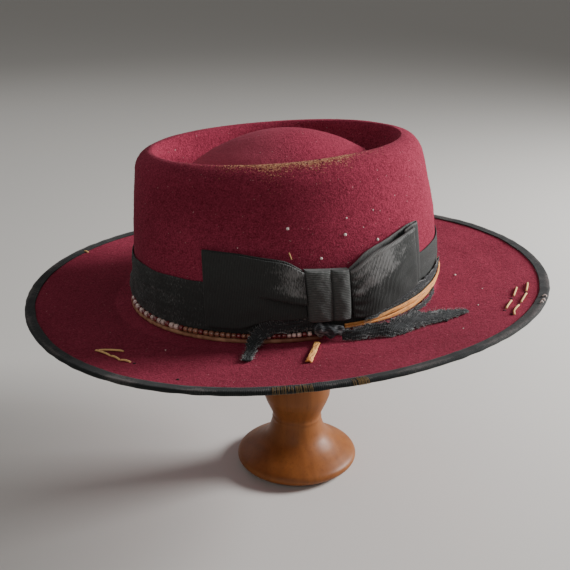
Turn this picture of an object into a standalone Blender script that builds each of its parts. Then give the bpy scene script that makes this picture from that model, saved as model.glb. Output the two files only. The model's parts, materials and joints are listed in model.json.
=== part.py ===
# A wide-brim felt hat with a pressed, telescoped crown, resting on a small turned wooden stand.
# It is trimmed with a ribbon band and bow, a string of beads, a leather cord, a split lace
# and torn strips of ribbon.
# The front of the hat is at -X, the bow is at -Y and up is +Z. The origin is the centre of the
# stand's foot. Sizes are in metres and angles in degrees, counted from the back (+X).

import math

import bmesh
import bpy
import numpy as np
from mathutils import Matrix, Vector

# The felt: the crown's foot is where the wall meets the brim, its tip is the level of the rim.
FELT_THICKNESS = 0.0016
CROWN_LENGTH = 0.2056
CROWN_WIDTH = 0.1730
CROWN_HEIGHT = 0.0989
TIP_LENGTH = 0.1811
TIP_WIDTH = 0.1311
TIP_SHIFT = -0.0039
WALL_CURVE = 1.6
FOOT_FILLET = 0.0030
RIM_INSET = 0.0088
RIM_DROP = 0.0079
GROOVE_DEPTH = 0.0200
DOME_LENGTH = 0.1380
DOME_WIDTH = 0.0880
DOME_RISE = 0.0271
BRIM_LENGTH = 0.3424
BRIM_WIDTH = 0.3096
BRIM_LIFT = 0.0055
BRIM_CURL = 1.5
GAP = 0.0003

# The trim.
BINDING_REACH = 0.0049
BINDING_THICKNESS = 0.0006
BAND_TOP = 0.0355
BAND_THICKNESS = 0.0010
CORD_RADIUS = 0.0014
BEAD_RADIUS = 0.0015
RIBBON_THICKNESS = 0.0009
KNOT_DEPTH = 0.0070
LACE_WIDTH = 0.0050
LACE_THICKNESS = 0.0012
LACE_END_WIDTH = 0.0042
TORN_WIDTH = 0.0110
TORN_THICKNESS = 0.0013
TORN_KNOT_DEPTH = 0.0070

# Where the bow's pieces and the cord's ends sit round the crown.
BOW_LEFT_END = -132.0
KNOT_LEFT = -98.6
KNOT_RIGHT = -84.0
BOW_RIGHT_END = -56.5
BEADS_FROM = -97.0
BEADS_TO = -350.0
CORD_FROM = -94.0
CORD_TO = -353.0

# The stand, and how the hat sits on it.
BRIM_LEVEL = 0.1366
HAT_FORWARD = 0.0054
HAT_PITCH = 2.28
HAT_ROLL = 1.34
FOOT_RADIUS = 0.0412
WAIST_RADIUS = 0.0168
WAIST_HEIGHT = 0.0370
CUP_RADIUS = 0.0235
CUP_HEIGHT = 0.0205
POST_RADIUS = 0.0110
HEAD_RADIUS = 0.0300
HEAD_HEIGHT = 0.0220
HEAD_CROWN = 0.0130
HEAD_ROUNDNESS = 0.84

# How finely the pieces are divided.
SEGMENTS = 48
STAND_STEPS = 26
CURVE_POINTS = 46
LOOP_STEPS = 9
LOOP_ROWS = 4
KNOT_STEPS = 9
LACE_STEPS = 26
LACE_END_STEPS = 6
TORN_STEPS = 19
LUMP_SIDES = 10
HEAD_PROBES = 25
SHARP_ANGLE = 50.0

OVER_BAND = 2 * GAP + BAND_THICKNESS
THETA = np.arange(SEGMENTS) * 360.0 / SEGMENTS

# Rings on the felt between the binding and the crown's foot, as shares of the brim's width.
BRIM_SHARES = (0.62, 0.34, 0.14)

# Waves of the brim's edge round the hat: columns are waves in a turn, and the cosine and sine
# parts as shares of BRIM_LIFT.
BRIM_WAVES = ((0, 1.0, 0.0), (1, 0.02, -0.21), (2, 0.06, -0.22), (3, -0.06, 0.25))

# The crown's wall between the band and the rim, as shares of the height from one to the other.
WALL_SHARES = (0.22, 0.44, 0.64, 0.82, 1.0)

# The felt from the rim down into the groove: columns are the share of the way from the rim's
# crest to the dome's edge, and the share of GROOVE_DEPTH below the crest.
GROOVE_SHARES = ((0.10, 0.03), (0.28, 0.20), (0.50, 0.58), (0.74, 0.90), (1.0, 1.0))

# Rows over the dome, as shares of its half-sizes.
DOME_SHARES = (0.90, 0.72, 0.50, 0.26)

# The knot's upright folds: how many there are, how deep the crease between them is as a share of
# KNOT_DEPTH, and how full they are (1 is a plain wave, less is fuller).
KNOT_FOLDS = 2
KNOT_CREASE = 0.20
KNOT_FULLNESS = 0.7

# The bow's left loop: columns are the share of the way from the knot to the loop's end, the
# lower and upper edges as shares of BAND_TOP, and how far the front stands off the back layer
# as a share of KNOT_DEPTH.
BOW_LEFT_SHARES = (
    (0.00, 0.47, 1.19, 0.42),
    (0.16, 0.46, 1.35, 0.48),
    (0.36, 0.45, 1.43, 0.46),
    (0.50, 0.37, 1.47, 0.42),
    (0.66, 0.29, 1.51, 0.36),
    (0.94, 0.27, 1.54, 0.24),
    (1.00, 0.27, 1.545, 0.23),
)

# The bow's right loop, with the same columns.
BOW_RIGHT_SHARES = (
    (0.00, 0.38, 1.10, 0.50),
    (0.10, 0.39, 1.17, 0.62),
    (0.28, 0.43, 1.32, 0.78),
    (0.58, 0.53, 1.48, 0.88),
    (0.90, 0.62, 1.61, 0.88),
    (1.00, 0.64, 1.64, 0.84),
)

# The knot's sections from its lower to its upper edge: columns are the height as a share of
# BAND_TOP at the left and at the right side, and the depth as a share of KNOT_DEPTH.
KNOT_SHARES = (
    (0.42, 0.36, 0.55),
    (0.45, 0.39, 0.80),
    (0.60, 0.55, 0.97),
    (0.82, 0.77, 1.00),
    (1.04, 0.98, 0.97),
    (1.18, 1.07, 0.82),
    (1.21, 1.10, 0.58),
)

# Routes of the flat strips: columns are the angle, the distance out past what the strip lies on
# as a share of the brim's width there, the height as a share of BAND_TOP, the lean of the flat side from
# facing out (0) to facing up (90), and the width as a share of the strip's own width. A height of
# 0 lays the strip's lower edge on the brim.
LACE_ROUTE = (
    (-87.3, 0.0, 0.205, 0, 0.50),
    (-77.0, 0.0, 0.262, 0, 0.56),
    (-71.0, 0.0, 0.318, 0, 0.75),
    (-65.0, 0.0, 0.372, 0, 0.90),
    (-57.0, 0.0, 0.425, 0, 1.00),
    (-50.0, 0.0, 0.452, 0, 0.90),
    (-42.0, 0.0, 0.460, 0, 0.62),
    (-30.0, 0.0, 0.435, 0, 0.60),
    (-15.0, 0.0, 0.370, 0, 0.60),
    (0.0, 0.0, 0.300, 0, 0.45),
)
LACE_END_ROUTE = (
    (-95.2, 0.085, 0.0, 90, 0.90),
    (-97.0, 0.185, 0.0, 90, 1.00),
    (-98.7, 0.290, 0.0, 90, 1.00),
    (-100.1, 0.395, 0.0, 90, 1.05),
)
TORN_LEFT_ROUTE = (
    (-96.6, 0.0, 0.325, 0, 0.46),
    (-101.5, 0.0, 0.342, 0, 0.56),
    (-106.5, 0.0, 0.335, 0, 0.54),
    (-110.8, 0.008, 0.315, 0, 0.50),
    (-113.9, 0.042, 0.245, 10, 0.52),
    (-115.4, 0.075, 0.145, 25, 0.50),
    (-116.0, 0.125, 0.050, 55, 0.42),
    (-116.1, 0.215, 0.0, 88, 0.40),
    (-116.0, 0.300, 0.0, 90, 0.42),
    (-115.9, 0.385, 0.0, 90, 0.36),
)
TORN_UPPER_ROUTE = (
    (-80.0, 0.0, 0.340, 0, 0.20),
    (-72.0, 0.0, 0.428, 0, 0.24),
    (-65.0, 0.0, 0.492, 0, 0.25),
    (-57.0, 0.0, 0.558, 0, 0.30),
    (-50.0, 0.0, 0.590, 0, 0.32),
    (-43.0, 0.0, 0.625, 0, 0.32),
    (-36.0, 0.0, 0.680, 0, 0.30),
    (-29.0, 0.0, 0.700, 0, 0.24),
)
TORN_TAIL_ROUTE = (
    (-88.9, 0.080, 0.0, 20, 0.60),
    (-84.0, 0.100, 0.0, 30, 0.72),
    (-79.5, 0.115, 0.0, 38, 0.84),
    (-74.5, 0.145, 0.0, 50, 1.00),
    (-69.5, 0.165, 0.0, 56, 1.06),
    (-63.5, 0.190, 0.0, 62, 0.98),
    (-58.5, 0.235, 0.0, 68, 0.84),
    (-54.0, 0.290, 0.0, 76, 0.62),
    (-50.0, 0.345, 0.0, 84, 0.42),
    (-47.6, 0.378, 0.0, 88, 0.20),
)

# A strip's section: columns are shares of its half-width and of its thickness.
STRIP_SECTION = ((-1, 0), (-0.8, 0.5), (0.8, 0.5), (1, 0), (0.8, -0.5), (-0.8, -0.5))

# The lump where the torn strips are knotted: columns are the share of the way along it, its
# middle and its half-height as shares of BAND_TOP, and its depth as a share of TORN_KNOT_DEPTH.
TORN_KNOT_SHARES = (
    (0.00, 0.215, 0.055, 0.62),
    (0.22, 0.205, 0.095, 0.92),
    (0.50, 0.200, 0.110, 1.00),
    (0.78, 0.190, 0.095, 0.90),
    (1.00, 0.180, 0.060, 0.62),
)
TORN_KNOT_FROM = -96.0
TORN_KNOT_TO = -89.4

# The stand's outline in four stretches: the base from the floor to the waist, the cup above it,
# the neck that narrows to the post, and the head inside the crown. Columns are the height as a
# share of the stretch, and the radius as a share of the way between its two radii. The neck takes
# one part in NECK_PARTS of the way from the cup to the head.
BASE_SHARES = (
    (0.00, 0.56),
    (0.025, 0.80),
    (0.075, 0.97),
    (0.13, 1.00),
    (0.20, 0.86),
    (0.29, 0.65),
    (0.39, 0.49),
    (0.51, 0.345),
    (0.64, 0.215),
    (0.79, 0.09),
    (0.92, 0.015),
)
CUP_SHARES = ((0.00, 0.00), (0.18, 0.17), (0.42, 0.52), (0.70, 0.88), (1.00, 1.00))
NECK_SHARES = ((0.30, 0.90), (0.62, 0.45), (1.00, 0.00))
NECK_PARTS = 3.0
HEAD_SHARES = ((0.0, 0.0), (0.22, 0.62), (0.55, 0.93), (1.0, 1.0))

# Rows over the rounded top of the stand's head, as shares of HEAD_RADIUS.
HEAD_TOP_SHARES = (0.94, 0.8, 0.55, 0.28)


def clear_scene():
    for item in list(bpy.data.objects):
        bpy.data.objects.remove(item, do_unlink=True)


def make_material(name, colour, roughness):
    material = bpy.data.materials.new(name)
    material.use_nodes = True
    shader = material.node_tree.nodes["Principled BSDF"]
    shader.inputs["Base Color"].default_value = (*colour, 1.0)
    shader.inputs["Roughness"].default_value = roughness
    shader.inputs["Metallic"].default_value = 0.0
    material.diffuse_color = (*colour, 1.0)
    return material


def add_object(name, data, collection, parent, material):
    item = bpy.data.objects.new(name, data)
    collection.objects.link(item)
    item.parent = parent
    item.data.materials.append(material)
    return item


def mesh_from(name, points, faces, closed):
    """A smooth-shaded mesh whose faces point outwards when it is closed."""
    mesh = bpy.data.meshes.new(name)
    mesh.from_pydata([tuple(p) for p in points], [], faces)
    if closed:
        body = bmesh.new()
        body.from_mesh(mesh)
        bmesh.ops.recalc_face_normals(body, faces=body.faces)
        body.to_mesh(mesh)
        body.free()
    mesh.shade_smooth()
    mesh.set_sharp_from_angle(angle=math.radians(SHARP_ANGLE))
    return mesh


def loft(name, sections, ring=False):
    """A closed skin through sections, each a loop of points. A ring has no ends to cap."""
    count, around = sections.shape[:2]
    faces = []
    for i in range(count if ring else count - 1):
        after = (i + 1) % count
        for j in range(around):
            k = (j + 1) % around
            faces.append((i * around + j, i * around + k, after * around + k, after * around + j))
    if not ring:
        faces.append(tuple(range(around)))
        faces.append(tuple(reversed(range((count - 1) * around, count * around))))
    return mesh_from(name, sections.reshape(-1, 3), faces, True)


def smooth_rows(rows, count):
    """count rows read from a Catmull-Rom curve through the given rows, column by column."""
    rows = np.array(rows)
    padded = np.vstack([2 * rows[0] - rows[1], rows, 2 * rows[-1] - rows[-2]])
    places = np.linspace(0, len(rows) - 1, count)
    start = np.minimum(places.astype(int), len(rows) - 2)
    t = (places - start)[:, None]
    p0, p1, p2, p3 = (padded[start + k] for k in range(4))
    return 0.5 * (
        2 * p1 + (p2 - p0) * t + (2 * p0 - 5 * p1 + 4 * p2 - p3) * t**2 + (3 * p1 - p0 - 3 * p2 + p3) * t**3
    )


def crown_oval(height):
    """Half-length, half-width and centre of the crown's outside at a height above the brim."""
    taper = np.clip(height / CROWN_HEIGHT, 0, 1) ** WALL_CURVE
    half_length = (CROWN_LENGTH + (TIP_LENGTH - CROWN_LENGTH) * taper) / 2
    half_width = (CROWN_WIDTH + (TIP_WIDTH - CROWN_WIDTH) * taper) / 2
    return half_length, half_width, TIP_SHIFT * taper


def brim_reach(theta):
    """The brim's width at an angle round the hat, from the crown's foot to the brim's edge."""
    ahead = (BRIM_LENGTH - CROWN_LENGTH) / 2
    aside = (BRIM_WIDTH - CROWN_WIDTH) / 2
    return ahead * np.cos(np.radians(theta)) ** 2 + aside * np.sin(np.radians(theta)) ** 2


def brim_rise(theta, share):
    """Height of the brim's top at a share of the way from the crown to the brim's edge."""
    angle = np.radians(theta)
    waves = sum(c * np.cos(n * angle) + s * np.sin(n * angle) for n, c, s in BRIM_WAVES)
    return BRIM_LIFT * waves * np.clip(share, 0, None) ** BRIM_CURL


def on_hat(theta, out, up):
    """Points a distance out from the crown's wall and up from the brim's top."""
    theta, out, up = np.broadcast_arrays(theta, out, up)
    half_length, half_width, centre = crown_oval(up)
    x = centre + (half_length + out) * np.cos(np.radians(theta))
    y = (half_width + out) * np.sin(np.radians(theta))
    return np.stack([x, y, up + brim_rise(theta, out / brim_reach(theta))], -1)


def between_ovals(inner, outer, share, height):
    """A ring of points at a share of the way between two ovals (half-length, half-width, centre)."""
    half_length, half_width, centre = (a + (b - a) * share for a, b in zip(inner, outer))
    x = centre + half_length * np.cos(np.radians(THETA))
    y = half_width * np.sin(np.radians(THETA))
    return np.stack([x, y, np.broadcast_to(height, x.shape)], -1)


def brim_ring(share, up):
    """A ring on the brim, with share 0 at the crown's foot and 1 at the brim's edge."""
    foot = (CROWN_LENGTH / 2, CROWN_WIDTH / 2, 0.0)
    edge = (BRIM_LENGTH / 2, BRIM_WIDTH / 2, 0.0)
    return between_ovals(foot, edge, share, up + brim_rise(THETA, share))


def binding_share():
    """Where the binding's inner edge lies on the brim."""
    return 1 - BINDING_REACH / brim_reach(THETA)


def felt_rings():
    """Rings of the felt's outside, from the brim's edge inwards and up to the dome."""
    rings = [brim_ring(share, 0.0) for share in (1.0, binding_share(), *BRIM_SHARES)]
    for turn in (0, 45, 90):
        out = FOOT_FILLET * (1 - math.sin(math.radians(turn)))
        up = FOOT_FILLET * (1 - math.cos(math.radians(turn)))
        rings.append(on_hat(THETA, out, up))
    rings.append(on_hat(THETA, 0.0, (FOOT_FILLET + BAND_TOP) / 2))
    rings.append(on_hat(THETA, 0.0, BAND_TOP))
    wall_top = CROWN_HEIGHT - RIM_DROP
    for share in WALL_SHARES:
        rings.append(on_hat(THETA, 0.0, BAND_TOP + (wall_top - BAND_TOP) * share))
    for turn in (30, 60, 90):
        up = wall_top + RIM_DROP * math.sin(math.radians(turn))
        rings.append(on_hat(THETA, -RIM_INSET * (1 - math.cos(math.radians(turn))), up))
        rings[-1][:, 2] = up
    crest = (TIP_LENGTH / 2 - RIM_INSET, TIP_WIDTH / 2 - RIM_INSET, TIP_SHIFT)
    dome = (DOME_LENGTH / 2, DOME_WIDTH / 2, TIP_SHIFT)
    for inward, down in GROOVE_SHARES:
        rings.append(between_ovals(crest, dome, inward, CROWN_HEIGHT - GROOVE_DEPTH * down))
    for share in DOME_SHARES:
        rings.append(between_ovals((0, 0, TIP_SHIFT), dome, share, dome_height(share)))
    return rings


def dome_height(share):
    """Height of the dome's outside at a share of its half-sizes from its middle."""
    return CROWN_HEIGHT - GROOVE_DEPTH + DOME_RISE * (1 - share**2)


def add_felt_body(collection, seat):
    rings = felt_rings()
    points = np.concatenate(rings + [np.array([[TIP_SHIFT, 0, dome_height(0)]])])
    faces = []
    for i in range(len(rings) - 1):
        for j in range(SEGMENTS):
            k = (j + 1) % SEGMENTS
            low, high = i * SEGMENTS, (i + 1) * SEGMENTS
            faces.append((low + j, low + k, high + k, high + j))
    last = (len(rings) - 1) * SEGMENTS
    for j in range(SEGMENTS):
        faces.append((last + j, last + (j + 1) % SEGMENTS, len(points) - 1))
    mesh = mesh_from("felt_body", points, faces, False)
    material = make_material("felt", (0.200, 0.022, 0.045), 0.95)
    felt = add_object("felt_body", mesh, collection, seat, material)
    wall = felt.modifiers.new("felt thickness", "SOLIDIFY")
    wall.thickness = FELT_THICKNESS
    wall.offset = -1
    wall.use_even_offset = True
    return felt


def add_brim_binding(collection, seat):
    """A ribbon folded over the brim's edge, clear of the felt by GAP all round."""
    inner = binding_share()
    past = GAP / brim_reach(THETA)
    thick = BINDING_THICKNESS / brim_reach(THETA)
    top, bottom = GAP, -FELT_THICKNESS - GAP
    middle = (top + bottom) / 2
    ends = 1 + past + thick
    rows = (
        (inner, top),
        (1 + past, top),
        (1 + past, bottom),
        (inner, bottom),
        (inner, bottom - BINDING_THICKNESS),
        (1 + past, bottom - BINDING_THICKNESS),
        (ends, bottom),
        (ends + thick / 2, middle),
        (ends, top),
        (1 + past, top + BINDING_THICKNESS),
        (inner, top + BINDING_THICKNESS),
    )
    sections = np.stack([brim_ring(share, up) for share, up in rows], 1)
    mesh = loft("brim_binding", sections, ring=True)
    material = make_material("binding", (0.012, 0.014, 0.013), 0.8)
    return add_object("brim_binding", mesh, collection, seat, material)


def add_ribbon_band(collection, seat):
    heights = (FOOT_FILLET + GAP, (FOOT_FILLET + BAND_TOP) / 2, BAND_TOP)
    inside = [on_hat(THETA, GAP, up) for up in heights]
    outside = [on_hat(THETA, GAP + BAND_THICKNESS, up) for up in reversed(heights)]
    mesh = loft("ribbon_band", np.stack(inside + outside, 1), ring=True)
    material = make_material("band_ribbon", (0.018, 0.020, 0.019), 0.8)
    return add_object("ribbon_band", mesh, collection, seat, material)


def add_round_cord(name, points, radius, material, collection, seat):
    curve = bpy.data.curves.new(name, "CURVE")
    curve.dimensions = "3D"
    curve.bevel_depth = radius
    curve.bevel_resolution = 2
    curve.use_fill_caps = True
    spline = curve.splines.new("POLY")
    spline.points.add(len(points) - 1)
    for place, point in zip(spline.points, points):
        place.co = (*point, 1.0)
    return add_object(name, curve, collection, seat, material)


def cord_place():
    """Distance out and height of the leather cord's middle: it lies on the brim by the wall."""
    return OVER_BAND + CORD_RADIUS + GAP, GAP + CORD_RADIUS


def add_leather_cord(collection, seat):
    out, up = cord_place()
    points = on_hat(np.linspace(CORD_FROM, CORD_TO, CURVE_POINTS), out, up)
    material = make_material("cord_leather", (0.180, 0.075, 0.035), 0.7)
    return add_round_cord("leather_cord", points, CORD_RADIUS, material, collection, seat)


def add_bead_string(collection, seat):
    up = cord_place()[1] + CORD_RADIUS + GAP + BEAD_RADIUS
    points = on_hat(np.linspace(BEADS_FROM, BEADS_TO, CURVE_POINTS), OVER_BAND + BEAD_RADIUS, up)
    material = make_material("beads", (0.300, 0.120, 0.090), 0.4)
    return add_round_cord("bead_string", points, BEAD_RADIUS, material, collection, seat)


def loop_mesh(name, rows, start, end):
    """A ribbon loop: a back layer on the band, a turn at its end, and a front layer to the knot."""
    rows = smooth_rows(rows, LOOP_STEPS)
    share, low, high, depth = rows.T
    low, high, depth = low * BAND_TOP, high * BAND_TOP, depth * KNOT_DEPTH
    theta = start + (end - start) * share
    back_out = np.full(len(rows), OVER_BAND + RIBBON_THICKNESS / 2)
    turn_radius = depth[-1] / 2
    turn = np.radians((45, 90, 135))
    reach = math.copysign(np.degrees(turn_radius / (CROWN_WIDTH / 2)), end - start)
    turn_theta = end + reach * np.sin(turn)
    turn_out = back_out[-1] + turn_radius * (1 - np.cos(turn))
    theta = np.concatenate([theta, turn_theta, theta[::-1]])
    out = np.concatenate([back_out, turn_out, (back_out + depth)[::-1]])
    low = np.concatenate([low, np.full(len(turn), low[-1]), low[::-1]])
    high = np.concatenate([high, np.full(len(turn), high[-1]), high[::-1]])
    # The path's own normal, seen from above, carries the ribbon's thickness.
    along = np.gradient(np.radians(theta) * CROWN_WIDTH / 2)
    away = np.gradient(out)
    length = np.hypot(along, away)
    side_out = np.sign(start - end) * along / length * RIBBON_THICKNESS / 2
    side_theta = np.degrees(-np.sign(start - end) * away / length * RIBBON_THICKNESS / CROWN_WIDTH)
    sections = []
    upward = np.linspace(0, 1, LOOP_ROWS)
    for sign, shares in ((1, upward), (-1, upward[::-1])):
        for share_up in shares:
            up = low + (high - low) * share_up
            sections.append(on_hat(theta + sign * side_theta, out + sign * side_out, up))
    return loft(name, np.stack(sections, 1))


def knot_gap():
    """The angle that leaves GAP between the knot and a loop's end."""
    return math.degrees(GAP / (CROWN_WIDTH / 2))


def add_bow_left(collection, seat):
    mesh = loop_mesh("bow_left", BOW_LEFT_SHARES, KNOT_LEFT - knot_gap(), BOW_LEFT_END)
    material = make_material("bow_left_ribbon", (0.016, 0.018, 0.017), 0.8)
    return add_object("bow_left", mesh, collection, seat, material)


def add_bow_right(collection, seat):
    mesh = loop_mesh("bow_right", BOW_RIGHT_SHARES, KNOT_RIGHT + knot_gap(), BOW_RIGHT_END)
    material = make_material("bow_right_ribbon", (0.030, 0.032, 0.031), 0.8)
    return add_object("bow_right", mesh, collection, seat, material)


def add_bow_knot(collection, seat):
    """The ribbon wrapped round the bow's middle in two upright folds."""
    across = np.linspace(0, 1, KNOT_STEPS)
    fold = np.abs(np.sin(KNOT_FOLDS * np.pi * across)) ** KNOT_FULLNESS
    lobes = 1 - KNOT_CREASE * (1 - fold)
    theta = KNOT_LEFT + (KNOT_RIGHT - KNOT_LEFT) * across
    sections = []
    for left, right, depth in KNOT_SHARES:
        up = (left + (right - left) * across) * BAND_TOP
        front = on_hat(theta, OVER_BAND + KNOT_DEPTH * depth * lobes, up)
        back = on_hat(theta, OVER_BAND, up)
        sections.append(np.concatenate([front, back[::-1]]))
    mesh = loft("bow_knot", np.array(sections))
    material = make_material("knot_ribbon", (0.024, 0.026, 0.025), 0.8)
    return add_object("bow_knot", mesh, collection, seat, material)


def strip_mesh(name, route, width, thickness, count):
    """A flat strip seated on the band or on the brim along a route of angles, lying as it leans."""
    theta, out, up, lean, share = smooth_rows(route, count).T
    lean = np.radians(lean)
    half = width * share / 2
    seat_up = GAP + thickness / 2 * np.sin(lean) + half * np.cos(lean)
    away = OVER_BAND + thickness / 2 + out * brim_reach(theta)
    centre = on_hat(theta, away, np.maximum(up * BAND_TOP, seat_up))
    along = np.gradient(centre, axis=0)
    along /= np.linalg.norm(along, axis=1)[:, None]
    facing = on_hat(theta, CROWN_HEIGHT, 0.0) - on_hat(theta, 0.0, 0.0)
    facing[:, 2] = 0
    facing /= np.linalg.norm(facing, axis=1)[:, None]
    face = facing * np.cos(lean)[:, None] + np.array([0, 0, 1]) * np.sin(lean)[:, None]
    across = np.cross(face, along)
    across /= np.linalg.norm(across, axis=1)[:, None]
    face = np.cross(along, across)
    sections = []
    for side, front in STRIP_SECTION:
        sections.append(centre + across * (half * side)[:, None] + face * (thickness * front))
    return loft(name, np.stack(sections, 1))


def add_tan_lace(collection, seat):
    mesh = strip_mesh("tan_lace", LACE_ROUTE, LACE_WIDTH, LACE_THICKNESS, LACE_STEPS)
    material = make_material("lace", (0.560, 0.290, 0.110), 0.75)
    return add_object("tan_lace", mesh, collection, seat, material)


def add_lace_end(collection, seat):
    mesh = strip_mesh("lace_end", LACE_END_ROUTE, LACE_END_WIDTH, LACE_THICKNESS, LACE_END_STEPS)
    material = make_material("lace_end", (0.520, 0.270, 0.110), 0.75)
    return add_object("lace_end", mesh, collection, seat, material)


def add_torn_strips(collection, seat):
    colour = (0.022, 0.025, 0.025)
    for name, route in (
        ("torn_left", TORN_LEFT_ROUTE),
        ("torn_upper", TORN_UPPER_ROUTE),
        ("torn_tail", TORN_TAIL_ROUTE),
    ):
        mesh = strip_mesh(name, route, TORN_WIDTH, TORN_THICKNESS, TORN_STEPS)
        add_object(name, mesh, collection, seat, make_material(name, colour, 0.85))


def add_torn_knot(collection, seat):
    """The lump where the torn strips cross, with round sections from left to right."""
    turn = np.linspace(0, 2 * np.pi, LUMP_SIDES, endpoint=False)
    sections = []
    for share, middle, half, depth in TORN_KNOT_SHARES:
        theta = TORN_KNOT_FROM + (TORN_KNOT_TO - TORN_KNOT_FROM) * share
        reach = TORN_KNOT_DEPTH * depth / 2
        out = OVER_BAND + TORN_KNOT_DEPTH / 2 + reach * np.cos(turn)
        up = (middle + half * np.sin(turn)) * BAND_TOP
        sections.append(on_hat(theta, out, up))
    mesh = loft("torn_knot", np.array(sections))
    material = make_material("torn_knot", (0.024, 0.028, 0.030), 0.85)
    return add_object("torn_knot", mesh, collection, seat, material)


def hat_placement():
    """The hat's place on the stand: its brim's level, a little forward, and tipped."""
    roll = Matrix.Rotation(math.radians(HAT_ROLL), 4, "X")
    pitch = Matrix.Rotation(-math.radians(HAT_PITCH), 4, "Y")
    return Matrix.Translation(Vector((-HAT_FORWARD, 0, BRIM_LEVEL))) @ roll @ pitch


def head_drop(radius):
    """How far the head's rounded top lies below its middle at a radius: an ellipse's arc."""
    share = min(radius / HEAD_RADIUS, 1)
    drop = 1 - math.sqrt(1 - HEAD_ROUNDNESS * share**2)
    return HEAD_CROWN * drop / (1 - math.sqrt(1 - HEAD_ROUNDNESS))


def stand_height():
    """The stand's top, which stays GAP below the felt under the dome all over the head."""
    placement = hat_placement()
    rows = (0.0, *reversed(DOME_SHARES), 1.0)
    heights = [dome_height(row) for row in rows]
    tops = []
    for share in np.linspace(0, 1, HEAD_PROBES):
        slope = 2 * DOME_RISE * share / (DOME_WIDTH / 2)
        felt = FELT_THICKNESS * math.sqrt(1 + slope**2)
        for turn in np.radians(THETA):
            x = TIP_SHIFT + DOME_LENGTH / 2 * share * math.cos(turn)
            y = DOME_WIDTH / 2 * share * math.sin(turn)
            inside = placement @ Vector((x, y, np.interp(share, rows, heights) - felt))
            radius = math.hypot(inside.x, inside.y)
            if radius < HEAD_RADIUS:
                tops.append(inside.z + head_drop(radius))
    return min(tops) - GAP


def stand_profile():
    """Radius and height of the stand's outline from its foot up to its top."""
    top = stand_height()
    cup_top = WAIST_HEIGHT + CUP_HEIGHT
    head_foot = top - HEAD_HEIGHT
    neck_top = cup_top + (head_foot - cup_top) / NECK_PARTS
    profile = [(0.0, 0.0)]
    for rows, low, high, narrow, wide in (
        (BASE_SHARES, 0.0, WAIST_HEIGHT, WAIST_RADIUS, FOOT_RADIUS),
        (CUP_SHARES, WAIST_HEIGHT, cup_top, WAIST_RADIUS, CUP_RADIUS),
        (NECK_SHARES, cup_top, neck_top, POST_RADIUS, CUP_RADIUS),
        (HEAD_SHARES, head_foot, top - HEAD_CROWN, POST_RADIUS, HEAD_RADIUS),
    ):
        for height, radius in rows:
            profile.append((narrow + (wide - narrow) * radius, low + (high - low) * height))
    for share in HEAD_TOP_SHARES:
        profile.append((HEAD_RADIUS * share, top - head_drop(HEAD_RADIUS * share)))
    profile.append((0.0, top))
    return profile


def add_wooden_stand(collection):
    """The turned stand: its outline, run down the outer side, spun round the upright axis."""
    outline = [(radius, 0.0, height) for radius, height in reversed(stand_profile())]
    mesh = bpy.data.meshes.new("wooden_stand")
    mesh.from_pydata(outline, [(i, i + 1) for i in range(len(outline) - 1)], [])
    material = make_material("wood", (0.280, 0.100, 0.035), 0.35)
    stand = add_object("wooden_stand", mesh, collection, None, material)
    screw = stand.modifiers.new("turning", "SCREW")
    screw.axis = "Z"
    screw.steps = STAND_STEPS
    screw.render_steps = STAND_STEPS
    screw.use_merge_vertices = True
    screw.merge_threshold = 0.0001
    screw.use_smooth_shade = True
    return stand


def build():
    clear_scene()
    collection = bpy.data.collections.new("felt hat on stand")
    bpy.context.scene.collection.children.link(collection)
    seat = bpy.data.objects.new("hat_seat", None)
    seat.matrix_world = hat_placement()
    collection.objects.link(seat)
    add_felt_body(collection, seat)
    add_brim_binding(collection, seat)
    add_ribbon_band(collection, seat)
    add_bow_left(collection, seat)
    add_bow_right(collection, seat)
    add_bow_knot(collection, seat)
    add_leather_cord(collection, seat)
    add_bead_string(collection, seat)
    add_tan_lace(collection, seat)
    add_lace_end(collection, seat)
    add_torn_strips(collection, seat)
    add_torn_knot(collection, seat)
    add_wooden_stand(collection)


build()
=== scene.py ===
import json
import math

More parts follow.
